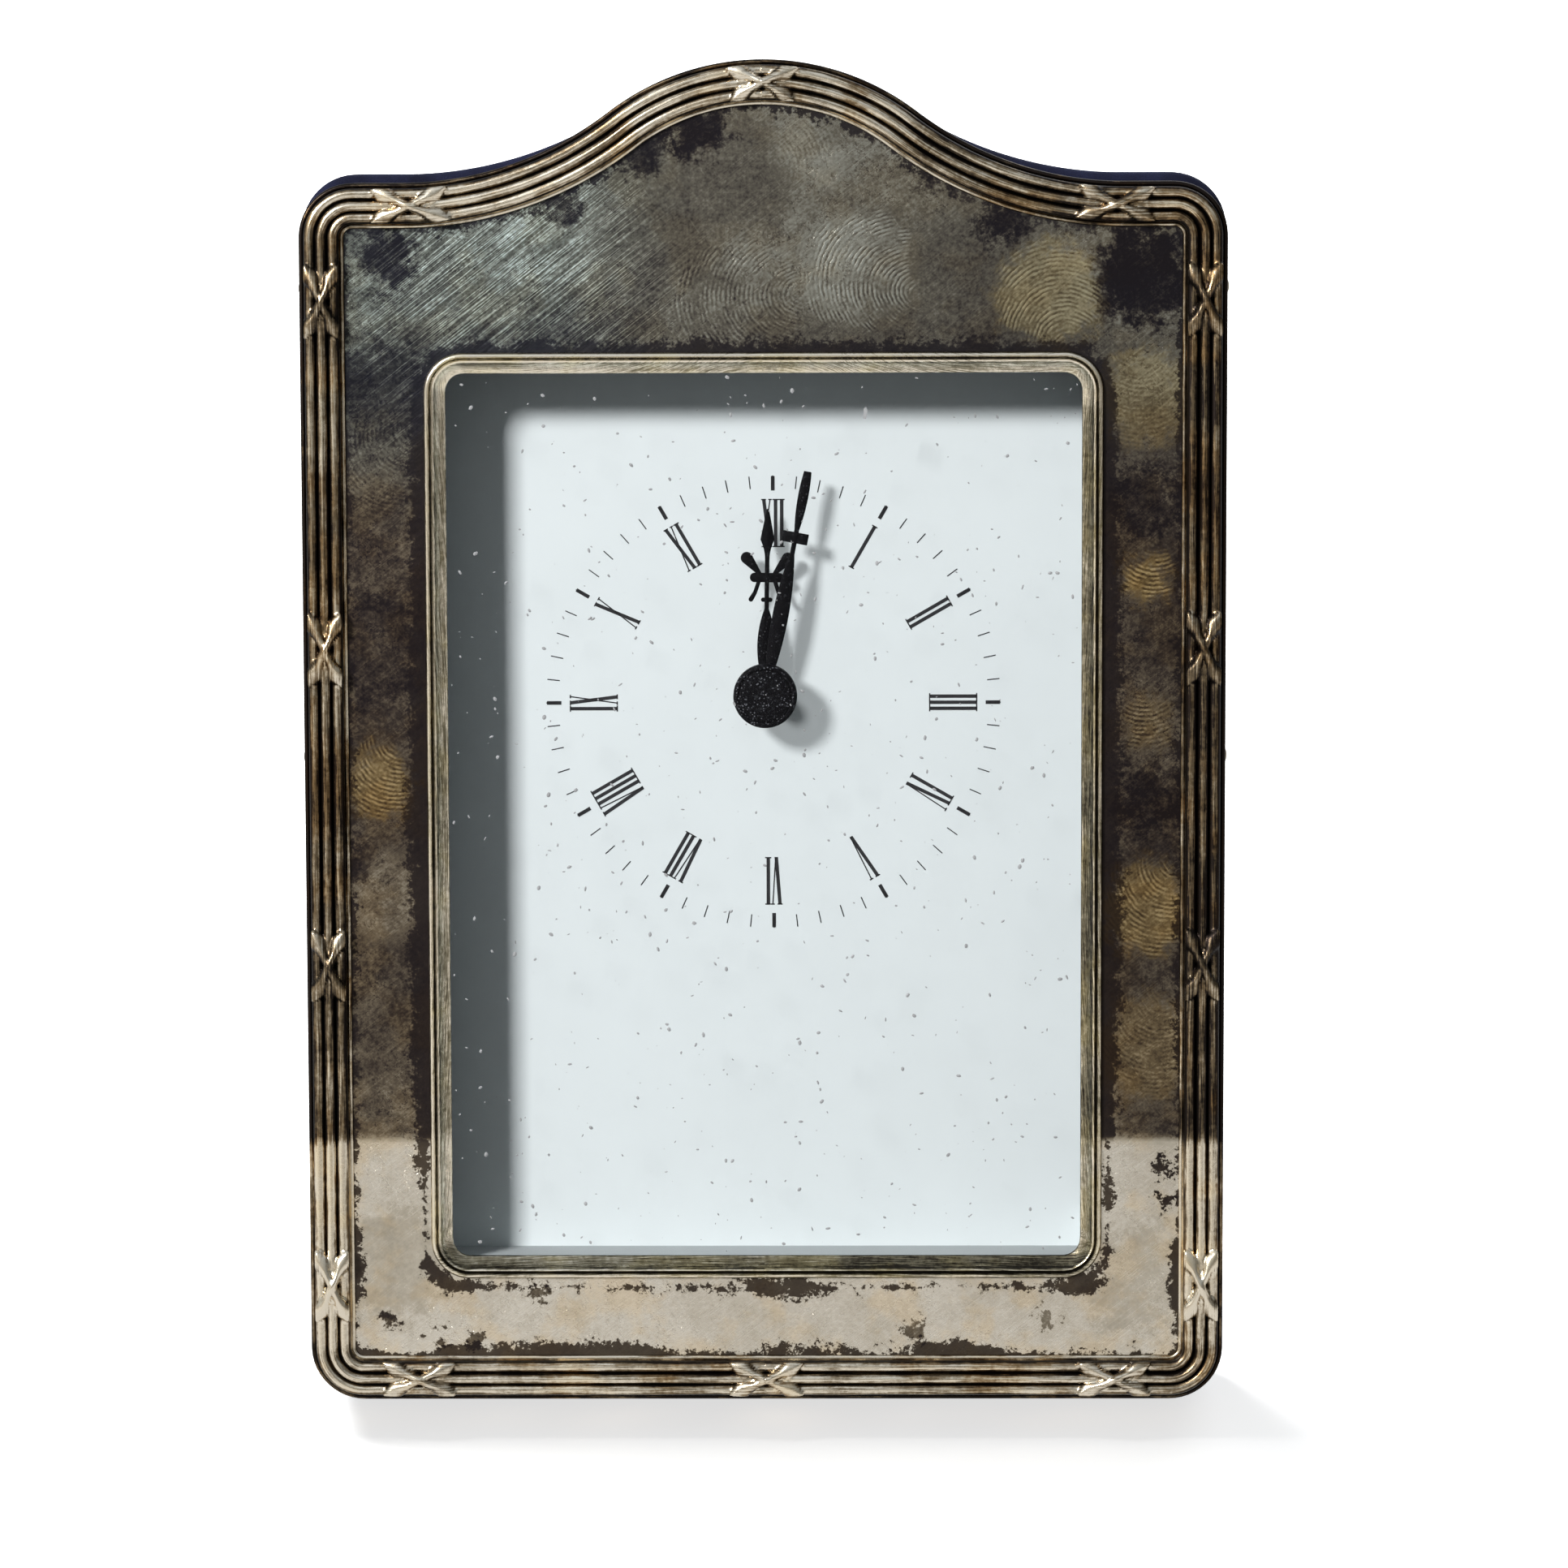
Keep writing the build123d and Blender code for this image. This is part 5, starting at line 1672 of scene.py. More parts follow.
@dataclass
class Window(SubAssembly):
    """The glass and the dust that lies on it."""

    width: float = 77.0
    height: float = 108.5
    front: float = 16.4
    lift: float = 0.01
    density: float = 130000.0
    grain: float = 0.37
    greatest_turn: float = 6.28
    fleck: Point = (12.4, 122.2)
    fleck_outline: tuple[Point, ...] = ((-0.25, -0.7), (0.1, -0.75), (0.3, 0.2), (0.12, 0.75), (-0.2, 0.5))
    fleck_thickness: float = 0.05

    def dust_tree(self) -> NodeTree:
        """Builds the tree that scatters flattened grains.

        Returns:
            The tree.
        """
        tree = NodeTree("glass_dust", ("Density", "Grain"))
        points = tree.scatter(16)
        grain = tree.out("GeometryNodeMeshIcoSphere", {"Radius": tree.given("Grain"), "Subdivisions": 1})
        size = tree.math("POWER", tree.chance(0.2, 1.0, 5), 2.0)
        breadth = tree.times(size, tree.chance(0.3, 0.8, 8))
        scale = tree.vector({0: size, 1: breadth, 2: tree.times(size, 0.3)})
        rotation = tree.rotation(tree.vector({2: tree.chance(0.0, self.greatest_turn, 9)}))
        tree.close(tree.stand(points.outputs[0], grain, rotation, scale))
        return tree

    def build(self, glass: Material, dust: Material, card: Material) -> None:
        """Builds the dust and finishes the glass and the frame behind it.

        Args:
            glass: Finish of the glass.
            dust: Finish of the dust.
            card: Finish of the spacing frame.
        """
        low, high = WINDOW_MIDDLE - self.height / 2, WINDOW_MIDDLE + self.height / 2
        host = sheet("dust", self.width / 2, low, high)
        sizes = {"Density": self.density, "Grain": self.grain * MM}
        self.dust_tree().run(host, {"Material": dust, **sizes})
        fleck = prism("fleck", np.array(self.fleck_outline) + self.fleck, 0.0, self.fleck_thickness)
        obj = join([host, fleck], "glass_dust")
        obj.data.transform(self.plane.matrix(n=self.front + self.lift))
        self.dress(obj, Body.CASE, Slot.CARD, (dust,))
        self.coat(glass, "glass")
        self.coat(card, "dial_spacer")


@dataclass
class Hands(SubAssembly):
    """The two black hands and the cap over their hubs."""

    minutes: float = 1.82
    hour_level: float = 8.2
    minute_level: float = 9.7
    thickness: float = 0.5
    hour_length: float = 23.0
    minute_length: float = 28.2
    cap_radius: float = 3.95
    cap_level: float = 10.2
    cap_height: float = 1.9

    def shape(self, name: str, outlines: Sequence[np.ndarray], level: float, turn: float) -> Object:
        """Raises some outlines into one softened hand.

        Args:
            name: The hand's name.
            outlines: Overlapping outlines.
            level: Depth of the rear of the hand.
            turn: Degrees past twelve.

        Returns:
            The hand, in place.
        """
        parts = []
        for number, outline in enumerate(outlines):
            ease = 0.012 * number
            part = prism("part", outline, ease, self.thickness - ease)
            soften(part, 0.07, 2, 50.0)
            parts.append(part)
        hand = join(parts, name)
        hand.data.transform(self.plane.matrix(0, self.arbor, level, -math.radians(turn)))
        return hand

    def hour_outlines(self) -> list[np.ndarray]:
        """Draws the hour hand: blade, collar, bar, leaves and legs.

        Returns:
            The outlines, which overlap.
        """
        r = self.hour_length
        side = np.vstack(
            [
                [(0.55, 0.05 * r)],
                arc((0.55, 0.09 * r), (1.10, 0.27 * r), (0.28, 0.46 * r), 18),
                [(0.28, 0.72 * r)],
                arc((0.28, 0.73 * r), (0.48, 0.79 * r), (0.88, 0.835 * r), 8),
                [(0.14, r)],
            ]
        )
        blade = np.vstack([side, side[::-1] * (-1, 1)])
        outlines = [blade, round_hull([(-0.45, 0.51 * r, 0.26), (0.45, 0.51 * r, 0.26)])]
        outlines.append(round_hull([(-1.55, 0.63 * r, 0.58), (1.55, 0.63 * r, 0.58)]))
        for way in (-1, 1):
            outlines.append(round_hull([(0.8 * way, 0.645 * r, 0.2), (2.55 * way, 0.735 * r, 0.74)]))
            outlines.append(round_hull([(1.0 * way, 0.61 * r, 0.26), (1.45 * way, 0.55 * r, 0.25)]))
            outlines.append(round_hull([(1.45 * way, 0.55 * r, 0.25), (1.95 * way, 0.512 * r, 0.3)]))
        return outlines + [round_hull([(0, 0, 3.0)], 48)]

    def minute_outlines(self) -> list[np.ndarray]:
        """Draws the minute hand: blade, bar and hub.

        Returns:
            The outlines, which overlap.
        """
        r = self.minute_length
        side = np.vstack(
            [
                [(0.55, 0.05 * r)],
                arc((0.55, 0.12 * r), (1.0, 0.36 * r), (0.30, 0.63 * r), 20),
                arc((0.30, 0.74 * r), (0.64, 0.91 * r), (0.47, r), 12),
            ]
        )
        blade = np.vstack([side, side[::-1] * (-1, 1)])
        bar = np.array([(-1.6, 0.681), (1.6, 0.681), (1.6, 0.729), (-1.6, 0.729)]) * (1, r)
        return [blade, bar, round_hull([(0, 0, 2.6)], 48)]

    def build(self, black: Material, dusty: Material) -> list[Object]:
        """Builds both hands and the cap.

        Args:
            black: Finish of the hands.
            dusty: Finish of the cap.

        Returns:
            The hands and the cap.
        """
        hour = self.shape("hour_hand_blade", self.hour_outlines(), self.hour_level, self.minutes / 2)
        self.dress(hour, Body.HOUR, Slot.HANDS, (black,), ("hour_hand",))
        minute = self.shape("minute_hand_blade", self.minute_outlines(), self.minute_level, 6 * self.minutes)
        self.dress(minute, Body.MINUTE, Slot.HANDS, (black,), ("minute_hand",))
        r, h = self.cap_radius, self.cap_height
        profile = (
            (0.0, 0.0), (r - 0.25, 0.0), (r - 0.05, 0.08), (r, 0.25), (r, h - 0.42), (r - 0.06, h - 0.18),
            (r - 0.2, h - 0.05), (r - 0.38, h), (r - 0.5, h - 0.02), (r - 0.56, h - 0.16),
            (r - 0.68, h - 0.18), (r - 0.78, h - 0.05), (r - 1.0, h), (r - 2.0, h + 0.02),
            (r - 3.0, h + 0.03), (0.0, h + 0.03),
        )
        cap = lathe("hand_cap_button", profile, 72)
        cap.data.transform(self.plane.matrix(0, self.arbor, self.cap_level))
        self.dress(cap, Body.MINUTE, Slot.HANDS, (dusty,), ("hand_cap",))
        return [hour, minute, cap]


@dataclass
class VelvetBack(SubAssembly):
    """The velvet-covered back: the wrapped body, its nap and the rear panel."""

    outline: Outline = field(
        default_factory=lambda: Outline(shoulder=151.15, bow_rise=13.25, coarse=0.8, close=0.8)
    )
    rebate: Opening = field(default_factory=lambda: Opening(88.5, 120.0, WINDOW_MIDDLE, 0.6))
    rebate_rings: tuple[Point, ...] = ((0.4, 0.0), (0.0, 0.35), (0.0, 2.8))
    reveal: float = 0.2
    depth: float = 12.0
    front_gap: float = 0.02
    hem: float = 3.2
    hem_level: float = 10.0
    side_levels: Point = (8.0, 4.0)
    round: float = 0.9
    nap_density: float = 2.4e6
    nap_length: float = 0.50
    nap_width: float = 0.03
    nap_tilt: float = 0.8

    def sections(self) -> list[Point]:
        """Measures across the wrapped edge.

        Returns:
            Insets and depths, from the front to the rear.
        """
        r = self.round
        bend = np.radians(np.linspace(0, 90, 6))
        front = [(r - self.reveal - r * math.sin(t), self.depth - r * (1 - math.cos(t))) for t in bend]
        sides = [(-self.reveal, level) for level in self.side_levels]
        rear = [(r - self.reveal - r * math.cos(t), r - r * math.sin(t)) for t in bend]
        return [(self.hem, self.depth - self.front_gap), *front, *sides, *rear]

    def wrap(self) -> tuple[Object, Object]:
        """Builds the wrapped body, and the part of it that carries the nap.

        Returns:
            The body and the carrier of the nap, both face-local.
        """
        edge = self.outline.ring(0.0)
        count = len(edge)
        rings = [np.c_[self.outline.ring(a), np.full(count, n)] for a, n in self.sections()]
        seen = len(rings)
        headings = np.arctan2(edge[:, 1] - self.rebate.middle, edge[:, 0])
        for margin, level in self.rebate_rings:
            rings.append(np.c_[self.rebate.ring(headings, margin), np.full(count, level)])
        rings.append(np.c_[self.outline.ring(self.hem), np.full(count, self.hem_level)])
        body = new_object("velvet_wrap", np.vstack(rings), ring_faces(len(rings), count, True))
        face_out(body)
        smooth(body, 60.0)
        carrier = new_object("velvet_nap", np.vstack(rings[1:seen]), ring_faces(seen - 1, count, False))
        return body, carrier

    def nap_tree(self) -> NodeTree:
        """Builds the tree that stands short fibres on the velvet.

        Returns:
            The tree.
        """
        tree = NodeTree("velvet_nap", ("Density", "Length", "Width", "Tilt"))
        points = tree.scatter(23)
        inputs = {"Vertices": 3, "Radius Top": 0.0, "Radius Bottom": tree.given("Width")}
        inputs["Depth"] = tree.given("Length")
        fibre = tree.out("GeometryNodeMeshCone", inputs, fill_type="NONE")
        least = tree.times(tree.given("Tilt"), -1.0)
        lean = {axis: tree.chance(least, tree.given("Tilt"), 31 + axis) for axis in (0, 1)}
        inputs = {0: points.outputs["Rotation"], 1: tree.rotation(tree.vector(lean))}
        rotation = tree.out("FunctionNodeRotateRotation", inputs, rotation_space="LOCAL")
        tree.close(tree.stand(points.outputs[0], fibre, rotation, tree.chance(0.5, 1.3, 41)))
        return tree

    def settle(self, obj: Object) -> None:
        """Places a face-local mesh and flattens what would go below the floor.

        Args:
            obj: The object.
        """
        obj.data.transform(self.plane.matrix())
        for vertex in obj.data.vertices:
            vertex.co.z = max(vertex.co.z, 0.0)

    def build(self, velvet: Material, nap: Material) -> None:
        """Builds the wrapped body, its nap and the rear panel.

        Args:
            velvet: Finish of the cloth.
            nap: Finish of the fibres.
        """
        body, carrier = self.wrap()
        self.settle(body)
        self.dress(body, Body.CASE, Slot.VELVET, (velvet,), ("velvet_cover",))
        sizes = {"Density": self.nap_density, "Tilt": self.nap_tilt}
        sizes |= {"Length": self.nap_length * MM, "Width": self.nap_width * MM}
        self.nap_tree().run(carrier, {"Material": nap, **sizes})
        self.settle(carrier)
        self.dress(carrier, Body.CASE, Slot.VELVET)
        self.rounded("back_panel", 0.5, 3, Body.CASE, Slot.VELVET, velvet)


@dataclass
class Fixings(SubAssembly):
    """Screws, rivets and pins, each set from one head."""

    screw_places: tuple[Point, ...] = ((-41.1, 15.6), (41.1, 15.6), (-41.1, 129.3), (41.1, 129.3))
    rivet_places: tuple[Point, ...] = ((-14.0, 52.0), (14.0, 52.0))
    clip_places: tuple[Point, ...] = ((-6.0, -6.0), (6.0, -6.0))
    pin_places: tuple[Point, ...] = ((80.0, 15.0), (137.5, 15.0))
    half_width: float = 56.5
    bracket_thickness: float = 0.8
    strut_lean: float = math.radians(-18.0)
    clip_half: float = 2.6
    bracket_rivet: tuple[float, float, float, float] = (1.8, 0.75, 0.95, 3.6)
    clip_rivet: tuple[float, float, float, float] = (1.8, 0.5, 0.95, 2.6)
    side_pin: tuple[float, float, float, float] = (0.9, 0.35, 0.38, 4.0)
    slot_half: Point = (2.5, 0.22)
    slot_level: float = 0.42
    screw_turn: float = 3.0

    def tree(self) -> NodeTree:
        """Builds the tree that sets a head at each point.

        Returns:
            The tree.
        """
        tree = NodeTree("fixings", ("Turn",), {"Head": "NodeSocketObject", "Rotation": "NodeSocketVector"})
        head = tree.node("GeometryNodeObjectInfo", {"Object": tree.given("Head")}).outputs["Geometry"]
        points = tree.out("GeometryNodeMeshToPoints", {"Mesh": tree.given("Geometry")})
        placed = tree.stand(points, head, tree.rotation(tree.given("Rotation")))
        spin = tree.rotation(tree.vector({2: tree.chance(0.0, tree.given("Turn"), 3)}))
        inputs = {"Instances": placed, "Rotation": spin, "Local Space": True}
        tree.close(tree.out("GeometryNodeRotateInstances", inputs))
        return tree

    def screw_head(self) -> Object:
        """Builds a slotted screw.

        Returns:
            The screw, with its head upwards.
        """
        profile = (
            (0.0, -4.0), (0.75, -4.0), (0.75, 0.0), (1.7, 0.0), (1.8, 0.12), (1.72, 0.38),
            (1.4, 0.66), (0.9, 0.84), (0.4, 0.9), (0.0, 0.91),
        )
        head = lathe("screw_head", profile, 40)
        x, y = self.slot_half
        cutter = prism("slot", [(-x, -y), (x, -y), (x, y), (-x, y)], self.slot_level, 2.0)
        cut = head.modifiers.new("slot", "BOOLEAN")
        cut.object = cutter
        cut.operation = "DIFFERENCE"
        bake(head)
        discard(cutter)
        smooth(head, 30.0)
        return head

    def rivet_head(self, radius: float, height: float, shank: float, length: float) -> Object:
        """A domed head on a shank.

        Args:
            radius: Radius of the head.
            height: Height of the head.
            shank: Radius of the shank.
            length: Length of the shank.

        Returns:
            The rivet, with its head upwards.
        """
        bend = np.radians(np.linspace(8, 82, 7))
        dome = [(radius * math.cos(t), height * math.sin(t)) for t in bend]
        profile = [(0.0, -length), (shank, -length), (shank, 0.0), (radius, 0.0), *dome, (0.0, height)]
        return lathe("rivet_head", profile, 32)

    def spread(
        self,
        name: str,
        node: str,
        head: Object,
        groups: Sequence[tuple[Matrix, Sequence[Place]]],
        material: Material,
        body: Body = Body.CASE,
        slot: Slot = Slot.BRASS,
        turn: float = 0.0,
    ) -> None:
        """Sets one head at the points of each group, and dresses the heads as one piece.

        Args:
            name: Name of the piece.
            node: The node that it stands for.
            head: The head.
            groups: A placing, with the points that it carries, in millimetres.
            material: Finish of the heads.
            body: The body that they ride on.
            slot: The record's slot.
            turn: Greatest chance turn of a head, in radians.
        """
        tree = self.tree()
        parts = []
        for placing, points in groups:
            host = new_object("heads", points, [])
            host.data.transform(placing)
            values = {"Head": head, "Rotation": tuple(placing.to_euler()), "Turn": turn, "Material": material}
            tree.run(host, values)
            parts.append(host)
        discard(head)
        obj = join(parts, name)
        smooth(obj, 35.0)
        self.dress(obj, body, slot, (material,), (node,))

    def build(self, brass: Material, pin_metal: Material) -> None:
        """Builds all the fixings.

        Args:
            brass: Finish of the screws and rivets.
            pin_metal: Finish of the pins in the silver.
        """
        half_turn = Matrix.Rotation(math.pi, 4, "Y")
        back = self.plane.matrix() @ half_turn
        groups = [(back, [(-x, u, 0.0) for x, u in self.screw_places])]
        self.spread("panel_screws", "back_screws", self.screw_head(), groups, brass, turn=self.screw_turn)

        rivet = self.rivet_head(*self.bracket_rivet)
        groups = [(back, [(-x, u, self.bracket_thickness) for x, u in self.rivet_places])]
        self.spread("bracket_rivet_heads", "bracket_rivets", rivet, groups, brass)

        hinge = self.plane.matrix(0, self.hinge_height, -self.hinge_stand).translation
        front = Matrix.Translation(hinge) @ Matrix.Rotation(math.pi / 2 - self.strut_lean, 4, "X")
        groups = []
        for way, placing in ((1, front), (-1, front @ half_turn)):
            groups.append((placing, [(way * x, u, self.clip_half) for x, u in self.clip_places]))
        rivet = self.rivet_head(*self.clip_rivet)
        self.spread("clip_rivet_heads", "clip_rivets", rivet, groups, brass, Body.STRUT)

        groups = []
        for side in (-1, 1):
            placing = self.plane.matrix() @ Matrix.Rotation(side * math.pi / 2, 4, "Y")
            groups.append((placing, [(-side * n, u, self.half_width) for u, n in self.pin_places]))
        pin = self.rivet_head(*self.side_pin)
        self.spread("side_pin_heads", "side_pins", pin, groups, pin_metal, slot=Slot.PINS)


@dataclass
class Strut(SubAssembly):
    """The folding strut, its clip, its bracket and the pin of its hinge."""

    pin_radius: float = 0.9
    pin_half: float = 11.7
    pin_chamfer: float = 0.2

    def build(self, velvet: Material, brass: Material) -> None:
        """Builds the strut and its hinge.

        Args:
            velvet: Finish of the board.
            brass: Finish of the metal.
        """
        self.rounded("strut_board", 0.6, 3, Body.STRUT, Slot.VELVET, velvet)
        self.rounded("strut_clip", 0.18, 2, Body.STRUT, Slot.BRASS, brass)
        self.rounded("strut_bracket", 0.2, 2, Body.CASE, Slot.BRASS, brass)
        r, h, c = self.pin_radius, self.pin_half, self.pin_chamfer
        profile = ((0.0, -h), (r - c, -h), (r, c - h), (r, 0.0), (r, h - c), (r - c, h), (0.0, h))
        pin = lathe("hinge_pin", profile, 32)
        place = self.plane.matrix(0, self.hinge_height, -self.hinge_stand)
        pin.data.transform(place @ Matrix.Rotation(math.pi / 2, 4, "Y"))
        self.dress(pin, Body.CASE, Slot.BRASS, (brass,), ("strut_pin",))


@dataclass
class Movement(SubAssembly):
    """The quartz movement: its case, knob and cell show at the back; the rest is inside."""

    knob_place: float = 9.0
    knob_level: float = -11.1
    knob_radius: float = 5.2
    knob_thickness: float = 2.4
    flutes: int = 20
    flute_depth: float = 0.42
    flute_steps: int = 12
    cell_radius: float = 7.1
    nub_radius: float = 2.75
    nub_length: float = 1.0

    def knob(self) -> Object:
        """Builds the fluted knob, its face towards the rear.

        Returns:
            The knob, in place.
        """
        sides = self.flute_steps * self.flutes
        turn = np.linspace(0, 2 * math.pi, sides, endpoint=False)
        wave = 0.5 - 0.5 * np.cos(self.flutes * turn)
        r, h = self.knob_radius, self.knob_thickness
        rows = (
            (r - 0.5, 0.0, 0.2), (r - 0.12, 0.0, 0.6), (r, 0.14, 1.0), (r, h - 0.3, 1.0),
            (r - 0.1, h - 0.1, 0.8), (r - 0.35, h, 0.4), (r - 0.9, h, 0.0), (r - 1.1, h - 0.3, 0.0),
            (r - 2.6, h - 0.34, 0.0), (r - 2.8, h - 0.02, 0.0), (r - 3.0, h + 0.02, 0.0),
            (r - 4.6, h + 0.05, 0.0),
        )
        rings = []
        for radius, level, share in rows:
            reach = radius - self.flute_depth * share * wave
            rings.append(np.c_[reach * np.cos(turn), reach * np.sin(turn), np.full(sides, level)])
        obj = capped("knob_fluted", rings, rows[0][1], rows[-1][1], 40.0)
        place = self.plane.matrix(self.knob_place, self.arbor, self.knob_level)
        obj.data.transform(place @ Matrix.Rotation(math.pi, 4, "Y"))
        return obj

    def cell(self) -> Object:
        """Builds the dry cell along x.

        Returns:
            The cell, in place.
        """
        low, high = (Vector(corner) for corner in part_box("battery"))
        half = (high.x - low.x) / 2 / MM
        r, nub, end = self.cell_radius, self.nub_radius, half - self.nub_length
        profile = (
            (0.0, -half), (r - 1.6, -half), (r - 1.4, -half + 0.25), (r - 1.1, -half + 0.25),
            (r - 0.9, -half), (r - 0.25, -half + 0.05), (r, -half + 0.4), (r, -half / 2), (r, half / 3),
            (r, end - 0.5), (r - 0.2, end - 0.1), (r - 0.6, end), (r - 0.9, end - 0.2),
            (nub + 0.3, end - 0.2), (nub, end), (nub, half - 0.2), (nub - 0.2, half), (0.0, half),
        )
        cell = lathe("dry_cell", profile, 64)
        middle = (low + high) / 2
        cell.data.transform(Matrix.Translation(middle) @ Matrix.Rotation(math.pi / 2, 4, "Y"))
        return cell

    def build(
        self, shell: Material, wrap: Material, inside: Sequence[tuple[Material, Sequence[str]]]
    ) -> None:
        """Builds what shows and finishes what is inside.

        Args:
            shell: Finish of the case and the knob.
            wrap: Finish of the cell.
            inside: Finishes of the inner nodes, each with its nodes.
        """
        self.rounded("movement_case", 0.45, 3, Body.CASE, Slot.PLASTIC, shell)
        self.rounded("movement_lid", 0.2, 2, Body.CASE, Slot.PLASTIC, shell)
        self.dress(self.knob(), Body.SETTING, Slot.PLASTIC, (shell,), ("setting_knob",))
        self.dress(self.cell(), Body.CASE, Slot.CELL, (wrap,), ("battery",))
        for material, nodes in inside:
            self.coat(material, *nodes)


class Room(Tree):
    """The node tree of the room round the clock."""

    def __init__(self, name: str) -> None:
        """Starts an empty room.

        Args:
            name: Its name.
        """
        world = bpy.data.worlds.new(name)
        world.use_nodes = True
        bpy.context.scene.world = world
        self.tree = world.node_tree
        self.tree.nodes.clear()
        self.output = self.node("ShaderNodeOutputWorld")


@dataclass
class Studio:
    """A white floor, a key from the upper left, two lesser lamps, a dim room and the camera."""

    plane: FacePlane
    eye: Place = (10.8, 152.9, 720.0)
    pitch: float = 0.108
    yaw: float = -0.012
    roll: float = 0.003
    lens: float = 132.07
    sensor: float = 36.0
    lamp_aim: Place = (0.0, 0.01, 0.085)
    key_from: Place = (0.0, 80.0, 10.0)
    key_heading: Place = (-0.75, 0.59, 1.0)
    key_distance: float = 1.3
    key_size: float = 0.21
    key_power: float = 23.0
    key_colour: Colour = (1.0, 0.985, 0.975)
    soft_share: float = 0.34
    table_place: Place = (-0.45, 0.55, 1.0)
    table_size: float = 0.7
    table_power: float = 34.0
    rear_place: Place = (0.5, 1.1, 0.9)
    rear_size: float = 0.9
    rear_power: float = 5.0
    rear_colour: Colour = (0.95, 0.97, 1.0)
    white: Colour = (1.0, 1.0, 1.0)
    room: float = 0.148
    floor_half: float = 4000.0
    floor_glow: float = 0.69
    floor_mirrored: float = 0.85

    def floor(self) -> Object:
        """Builds the floor, white to the camera, with the object's shadow.

        Returns:
            The floor.
        """
        obj = sheet("floor", self.floor_half, -self.floor_half, self.floor_half)
        s = Shading("floor_white")
        grain = s.noise(s.millimetres(), 0.02, 2)
        tone = s.mix(s.span(grain, 0.3, 0.7), (0.78, 0.78, 0.78), (0.80, 0.80, 0.80))
        path = s.node("ShaderNodeLightPath").outputs
        lit = s.out("ShaderNodeBsdfDiffuse", {"Color": tone})
        glow = s.out("ShaderNodeEmission", {"Color": self.white, "Strength": self.floor_glow})
        shown = s.out("ShaderNodeAddShader", {0: lit, 1: glow})
        mirrored = s.out("ShaderNodeEmission", {"Color": self.white, "Strength": self.floor_mirrored})
        dim = s.out("ShaderNodeBsdfDiffuse", {"Color": (0.10, 0.10, 0.10)})
        clear = s.math("MAXIMUM", path["Is Glossy Ray"], path["Is Transmission Ray"])
        other = s.blend(clear, dim, mirrored)
        obj.data.materials.append(s.end(s.blend(path["Is Camera Ray"], other, shown)))
        return obj

    def surroundings(self) -> None:
        """Builds the room: dim for the light it sheds, brighter where metal mirrors it."""
        s = Room("room")
        heading = s.node("ShaderNodeTexCoord").outputs["Generated"]
        share = s.out("ShaderNodeMapRange", {"Value": s.part(heading, 2), "From Min": -0.2})
        mirrored = s.ramp(
            share,
            (
                (0.0, (0.80, 0.78, 0.74)), (0.215, (0.92, 0.88, 0.81)), (0.24, (0.34, 0.31, 0.26)),
                (0.30, (0.24, 0.22, 0.185)), (0.38, (0.30, 0.30, 0.275)), (0.58, (0.48, 0.51, 0.53)),
                (0.83, (0.72, 0.78, 0.86)), (1.0, (0.55, 0.60, 0.66)),
            ),
        )
        sides = {"Value": s.part(heading, 0), "From Min": -0.8, "From Max": 0.8}
        sides |= {"To Min": 1.35, "To Max": 0.5}
        vary = s.out("ShaderNodeMapRange", sides)
        path = s.node("ShaderNodeLightPath").outputs
        dim = s.out("ShaderNodeBackground", {"Color": (0.90, 0.96, 1.0), "Strength": self.room})
        seen = s.out("ShaderNodeBackground", {"Color": mirrored, "Strength": vary})
        white = s.out("ShaderNodeBackground", {"Color": self.white, "Strength": 1.0})
        first = s.blend(path["Is Glossy Ray"], dim, seen)
        clear = s.math("MAXIMUM", path["Is Camera Ray"], path["Is Transmission Ray"])
        s.feed(s.output.inputs[0], s.blend(clear, first, white))

    def lamp(self, name: str, place: Vector, size: float, power: float, colour: Colour) -> Object:
        """Adds a square lamp that faces the middle of the clock.

        Args:
            name: The lamp's name.
            place: Its place in metres.
            size: Its side in metres.
            power: Its power in watts.
            colour: Its colour.

        Returns:
            The lamp.
        """
        light = bpy.data.lights.new(name, "AREA")
        light.size = size
        light.energy = power
        light.color = colour
        obj = add_object(name, light)
        obj.location = place
        obj.rotation_euler = (Vector(self.lamp_aim) - place).to_track_quat("-Z", "Y").to_euler()
        return obj

    def keep_to(self, lamp: Object, floor: Object, linking: Linking) -> None:
        """Lets a lamp light only the floor, or all but the floor.

        Args:
            lamp: The lamp.
            floor: The floor.
            linking: Which of the two.
        """
        group = bpy.data.collections.new(f"{lamp.name}_floor")
        group.objects.link(floor)
        group.collection_objects[0].light_linking.link_state = linking.value
        lamp.light_linking.receiver_collection = group

    def ease_shadow(self, pieces: Sequence[Object]) -> None:
        """Lets the softer key pass some slim pieces, so that their shadow is lighter.

        Args:
            pieces: The pieces.
        """
        group = bpy.data.collections.new("slim_pieces")
        for number, piece in enumerate(pieces):
            group.objects.link(piece)
            group.collection_objects[number].light_linking.link_state = Linking.ALL_BUT.value
        bpy.data.objects["soft_key"].light_linking.blocker_collection = group

    def camera(self) -> None:
        """Sets the camera where the photograph was taken from."""
        data = bpy.data.cameras.new("camera")
        data.lens = self.lens
        data.sensor_width = self.sensor
        data.clip_start, data.clip_end = 0.01, 50.0
        obj = add_object("camera", data)
        turn = Matrix.Rotation(self.roll, 3, "Z") @ Matrix.Rotation(self.pitch, 3, "X")
        turn = turn @ Matrix.Rotation(self.yaw, 3, "Y")
        facing = self.plane.matrix().to_3x3() @ turn.transposed()
        place = self.plane.matrix(*self.eye).translation
        obj.matrix_world = Matrix.Translation(place) @ facing.to_4x4()
        bpy.context.scene.camera = obj

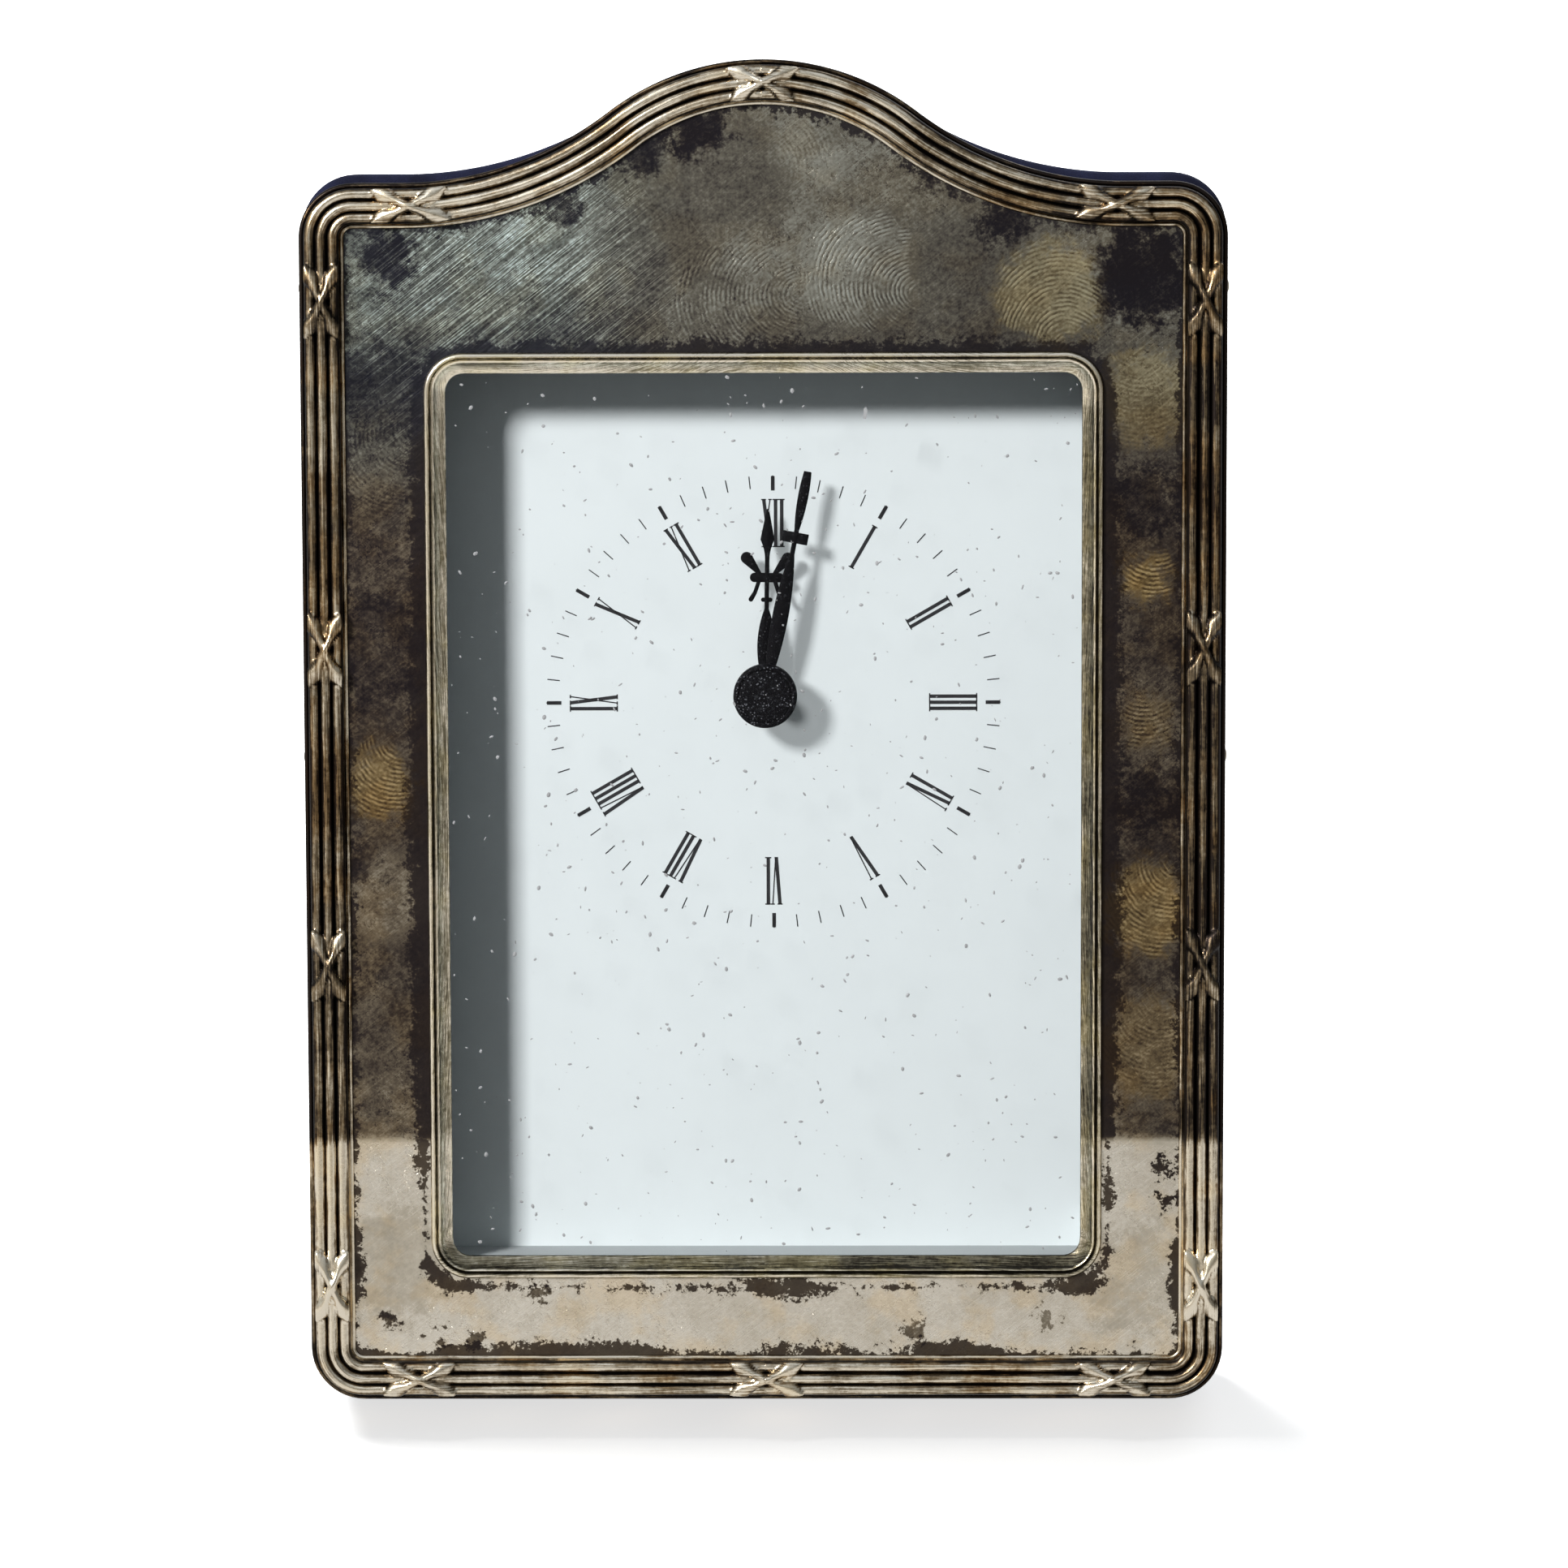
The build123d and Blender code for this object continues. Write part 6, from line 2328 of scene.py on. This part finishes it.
    def build(self) -> None:
        """Builds the whole studio."""
        bpy.context.scene.view_settings.view_transform = "Standard"
        floor = self.floor()
        self.surroundings()
        heading = self.plane.matrix().to_3x3() @ Vector(self.key_heading).normalized()
        place = self.plane.matrix(*self.key_from).translation + heading * self.key_distance
        for name, share in (("key", 1 - self.soft_share), ("soft_key", self.soft_share)):
            lamp = self.lamp(name, place, self.key_size, share * self.key_power, self.key_colour)
            self.keep_to(lamp, floor, Linking.ALL_BUT)
        lamp = self.lamp("table", Vector(self.table_place), self.table_size, self.table_power, self.white)
        self.keep_to(lamp, floor, Linking.ONLY)
        self.lamp("rear_fill", Vector(self.rear_place), self.rear_size, self.rear_power, self.rear_colour)
        self.camera()


def main() -> None:
    """Builds the clock and its studio."""
    logging.basicConfig(level=logging.INFO, format="%(message)s")
    plane = FacePlane.from_dial()
    studio = Studio(plane)
    studio.build()

    velvet = Pile("navy_velvet").material()
    nap = Pile("navy_nap", (0.009, 0.0105, 0.026)).material()
    brass = Metal("lacquered_brass", (0.66, 0.47, 0.20), (0.42, 0.29, 0.13), 0.28).material()
    steel = Metal("plain_steel", (0.58, 0.58, 0.585), (0.38, 0.37, 0.36), 0.32).material()
    copper = Metal("coil_copper", (0.56, 0.25, 0.11), (0.40, 0.17, 0.08), 0.34, 0.05).material()
    wood = Timber("sawn_wood").material()
    shell = Moulded("movement_black", (0.026, 0.026, 0.029), 0.5, 4.0, 0.03).material()
    pale = Moulded("pale_plastic", (0.74, 0.73, 0.69), 0.45).material()
    wheels = Moulded("wheel_plastic", (0.80, 0.78, 0.70), 0.35, 2.0).material()

    foam = Moulded("foam_pad", (0.14, 0.14, 0.15), 0.9, 2.0, 0.1).material()
    magnet = Metal("sintered_magnet", (0.16, 0.16, 0.17), (0.10, 0.10, 0.10), 0.55, 0.04).material()
    contact = Metal("contact_plate", (0.70, 0.70, 0.68), (0.5, 0.49, 0.46), 0.25).material()
    pins = Metal("dull_pins", (0.40, 0.35, 0.26), (0.18, 0.15, 0.11), 0.4).material()
    ink = Moulded("dial_ink", (0.012, 0.012, 0.015), 0.36, 4.0, 0.004).material()
    dust = Moulded("pale_dust", (0.34, 0.35, 0.36), 0.9, 6.0).material()
    black = DustyBlack("hand_black", 0.12).material()
    dusty = DustyBlack("cap_black", 0.45).material()
    border = MouldingSilver("border_silver").material()
    bezel = MouldingSilver(
        "bezel_silver",
        hollow=(0.022, 0.018, 0.013),
        worn=(0.27, 0.235, 0.155),
        bright=(0.84, 0.76, 0.62),
        tint=(0.66, 0.58, 0.30),
        tint_share=0.4,
        roughness=0.2,
        patchy=0.12,
        # painted light: darker at the foot, a painted reflection up to 32.6 and a painted reflection of the
        # floor along the top
        painted_light_bands=((0.0, 18.6, -0.12), (18.6, 32.6, 0.18), (123.0, 140.0, 0.22)),
    ).material()

    SilverFront(plane).build(PanelSilver().material(), border, bezel)
    Dial(plane).build(DialCard().material(), ink)
    Window(plane).build(ClearGlass().material(), dust, ShadePaintedCard().material())
    studio.ease_shadow(Hands(plane).build(black, dusty))
    VelvetBack(plane).build(velvet, nap)
    Fixings(plane).build(brass, pins)
    Strut(plane).build(velvet, brass)
    inside = (
        (wood, ("front_former", "back_box")),
        (foam, ("fixing_pad",)),
        (wheels, [f"{place}_wheel" for place in ("hour", "minute", "centre", "third", "seconds", "idler")]),
        (pale, ("mid_plate", "rotor_pinion", "coil_bobbin")),
        (steel, ("setting_arbor", "stator", "crystal")),
        (brass, ("cannon_pinion",)),
        (copper, ("coil_winding",)),
        (magnet, ("rotor_magnet",)),
        (Laminate().material(), ("circuit_board",)),
        (contact, ("battery_contacts",)),
    )
    Movement(plane).build(shell, CellWrap().material(), inside)


if __name__ == "__main__":
    main()
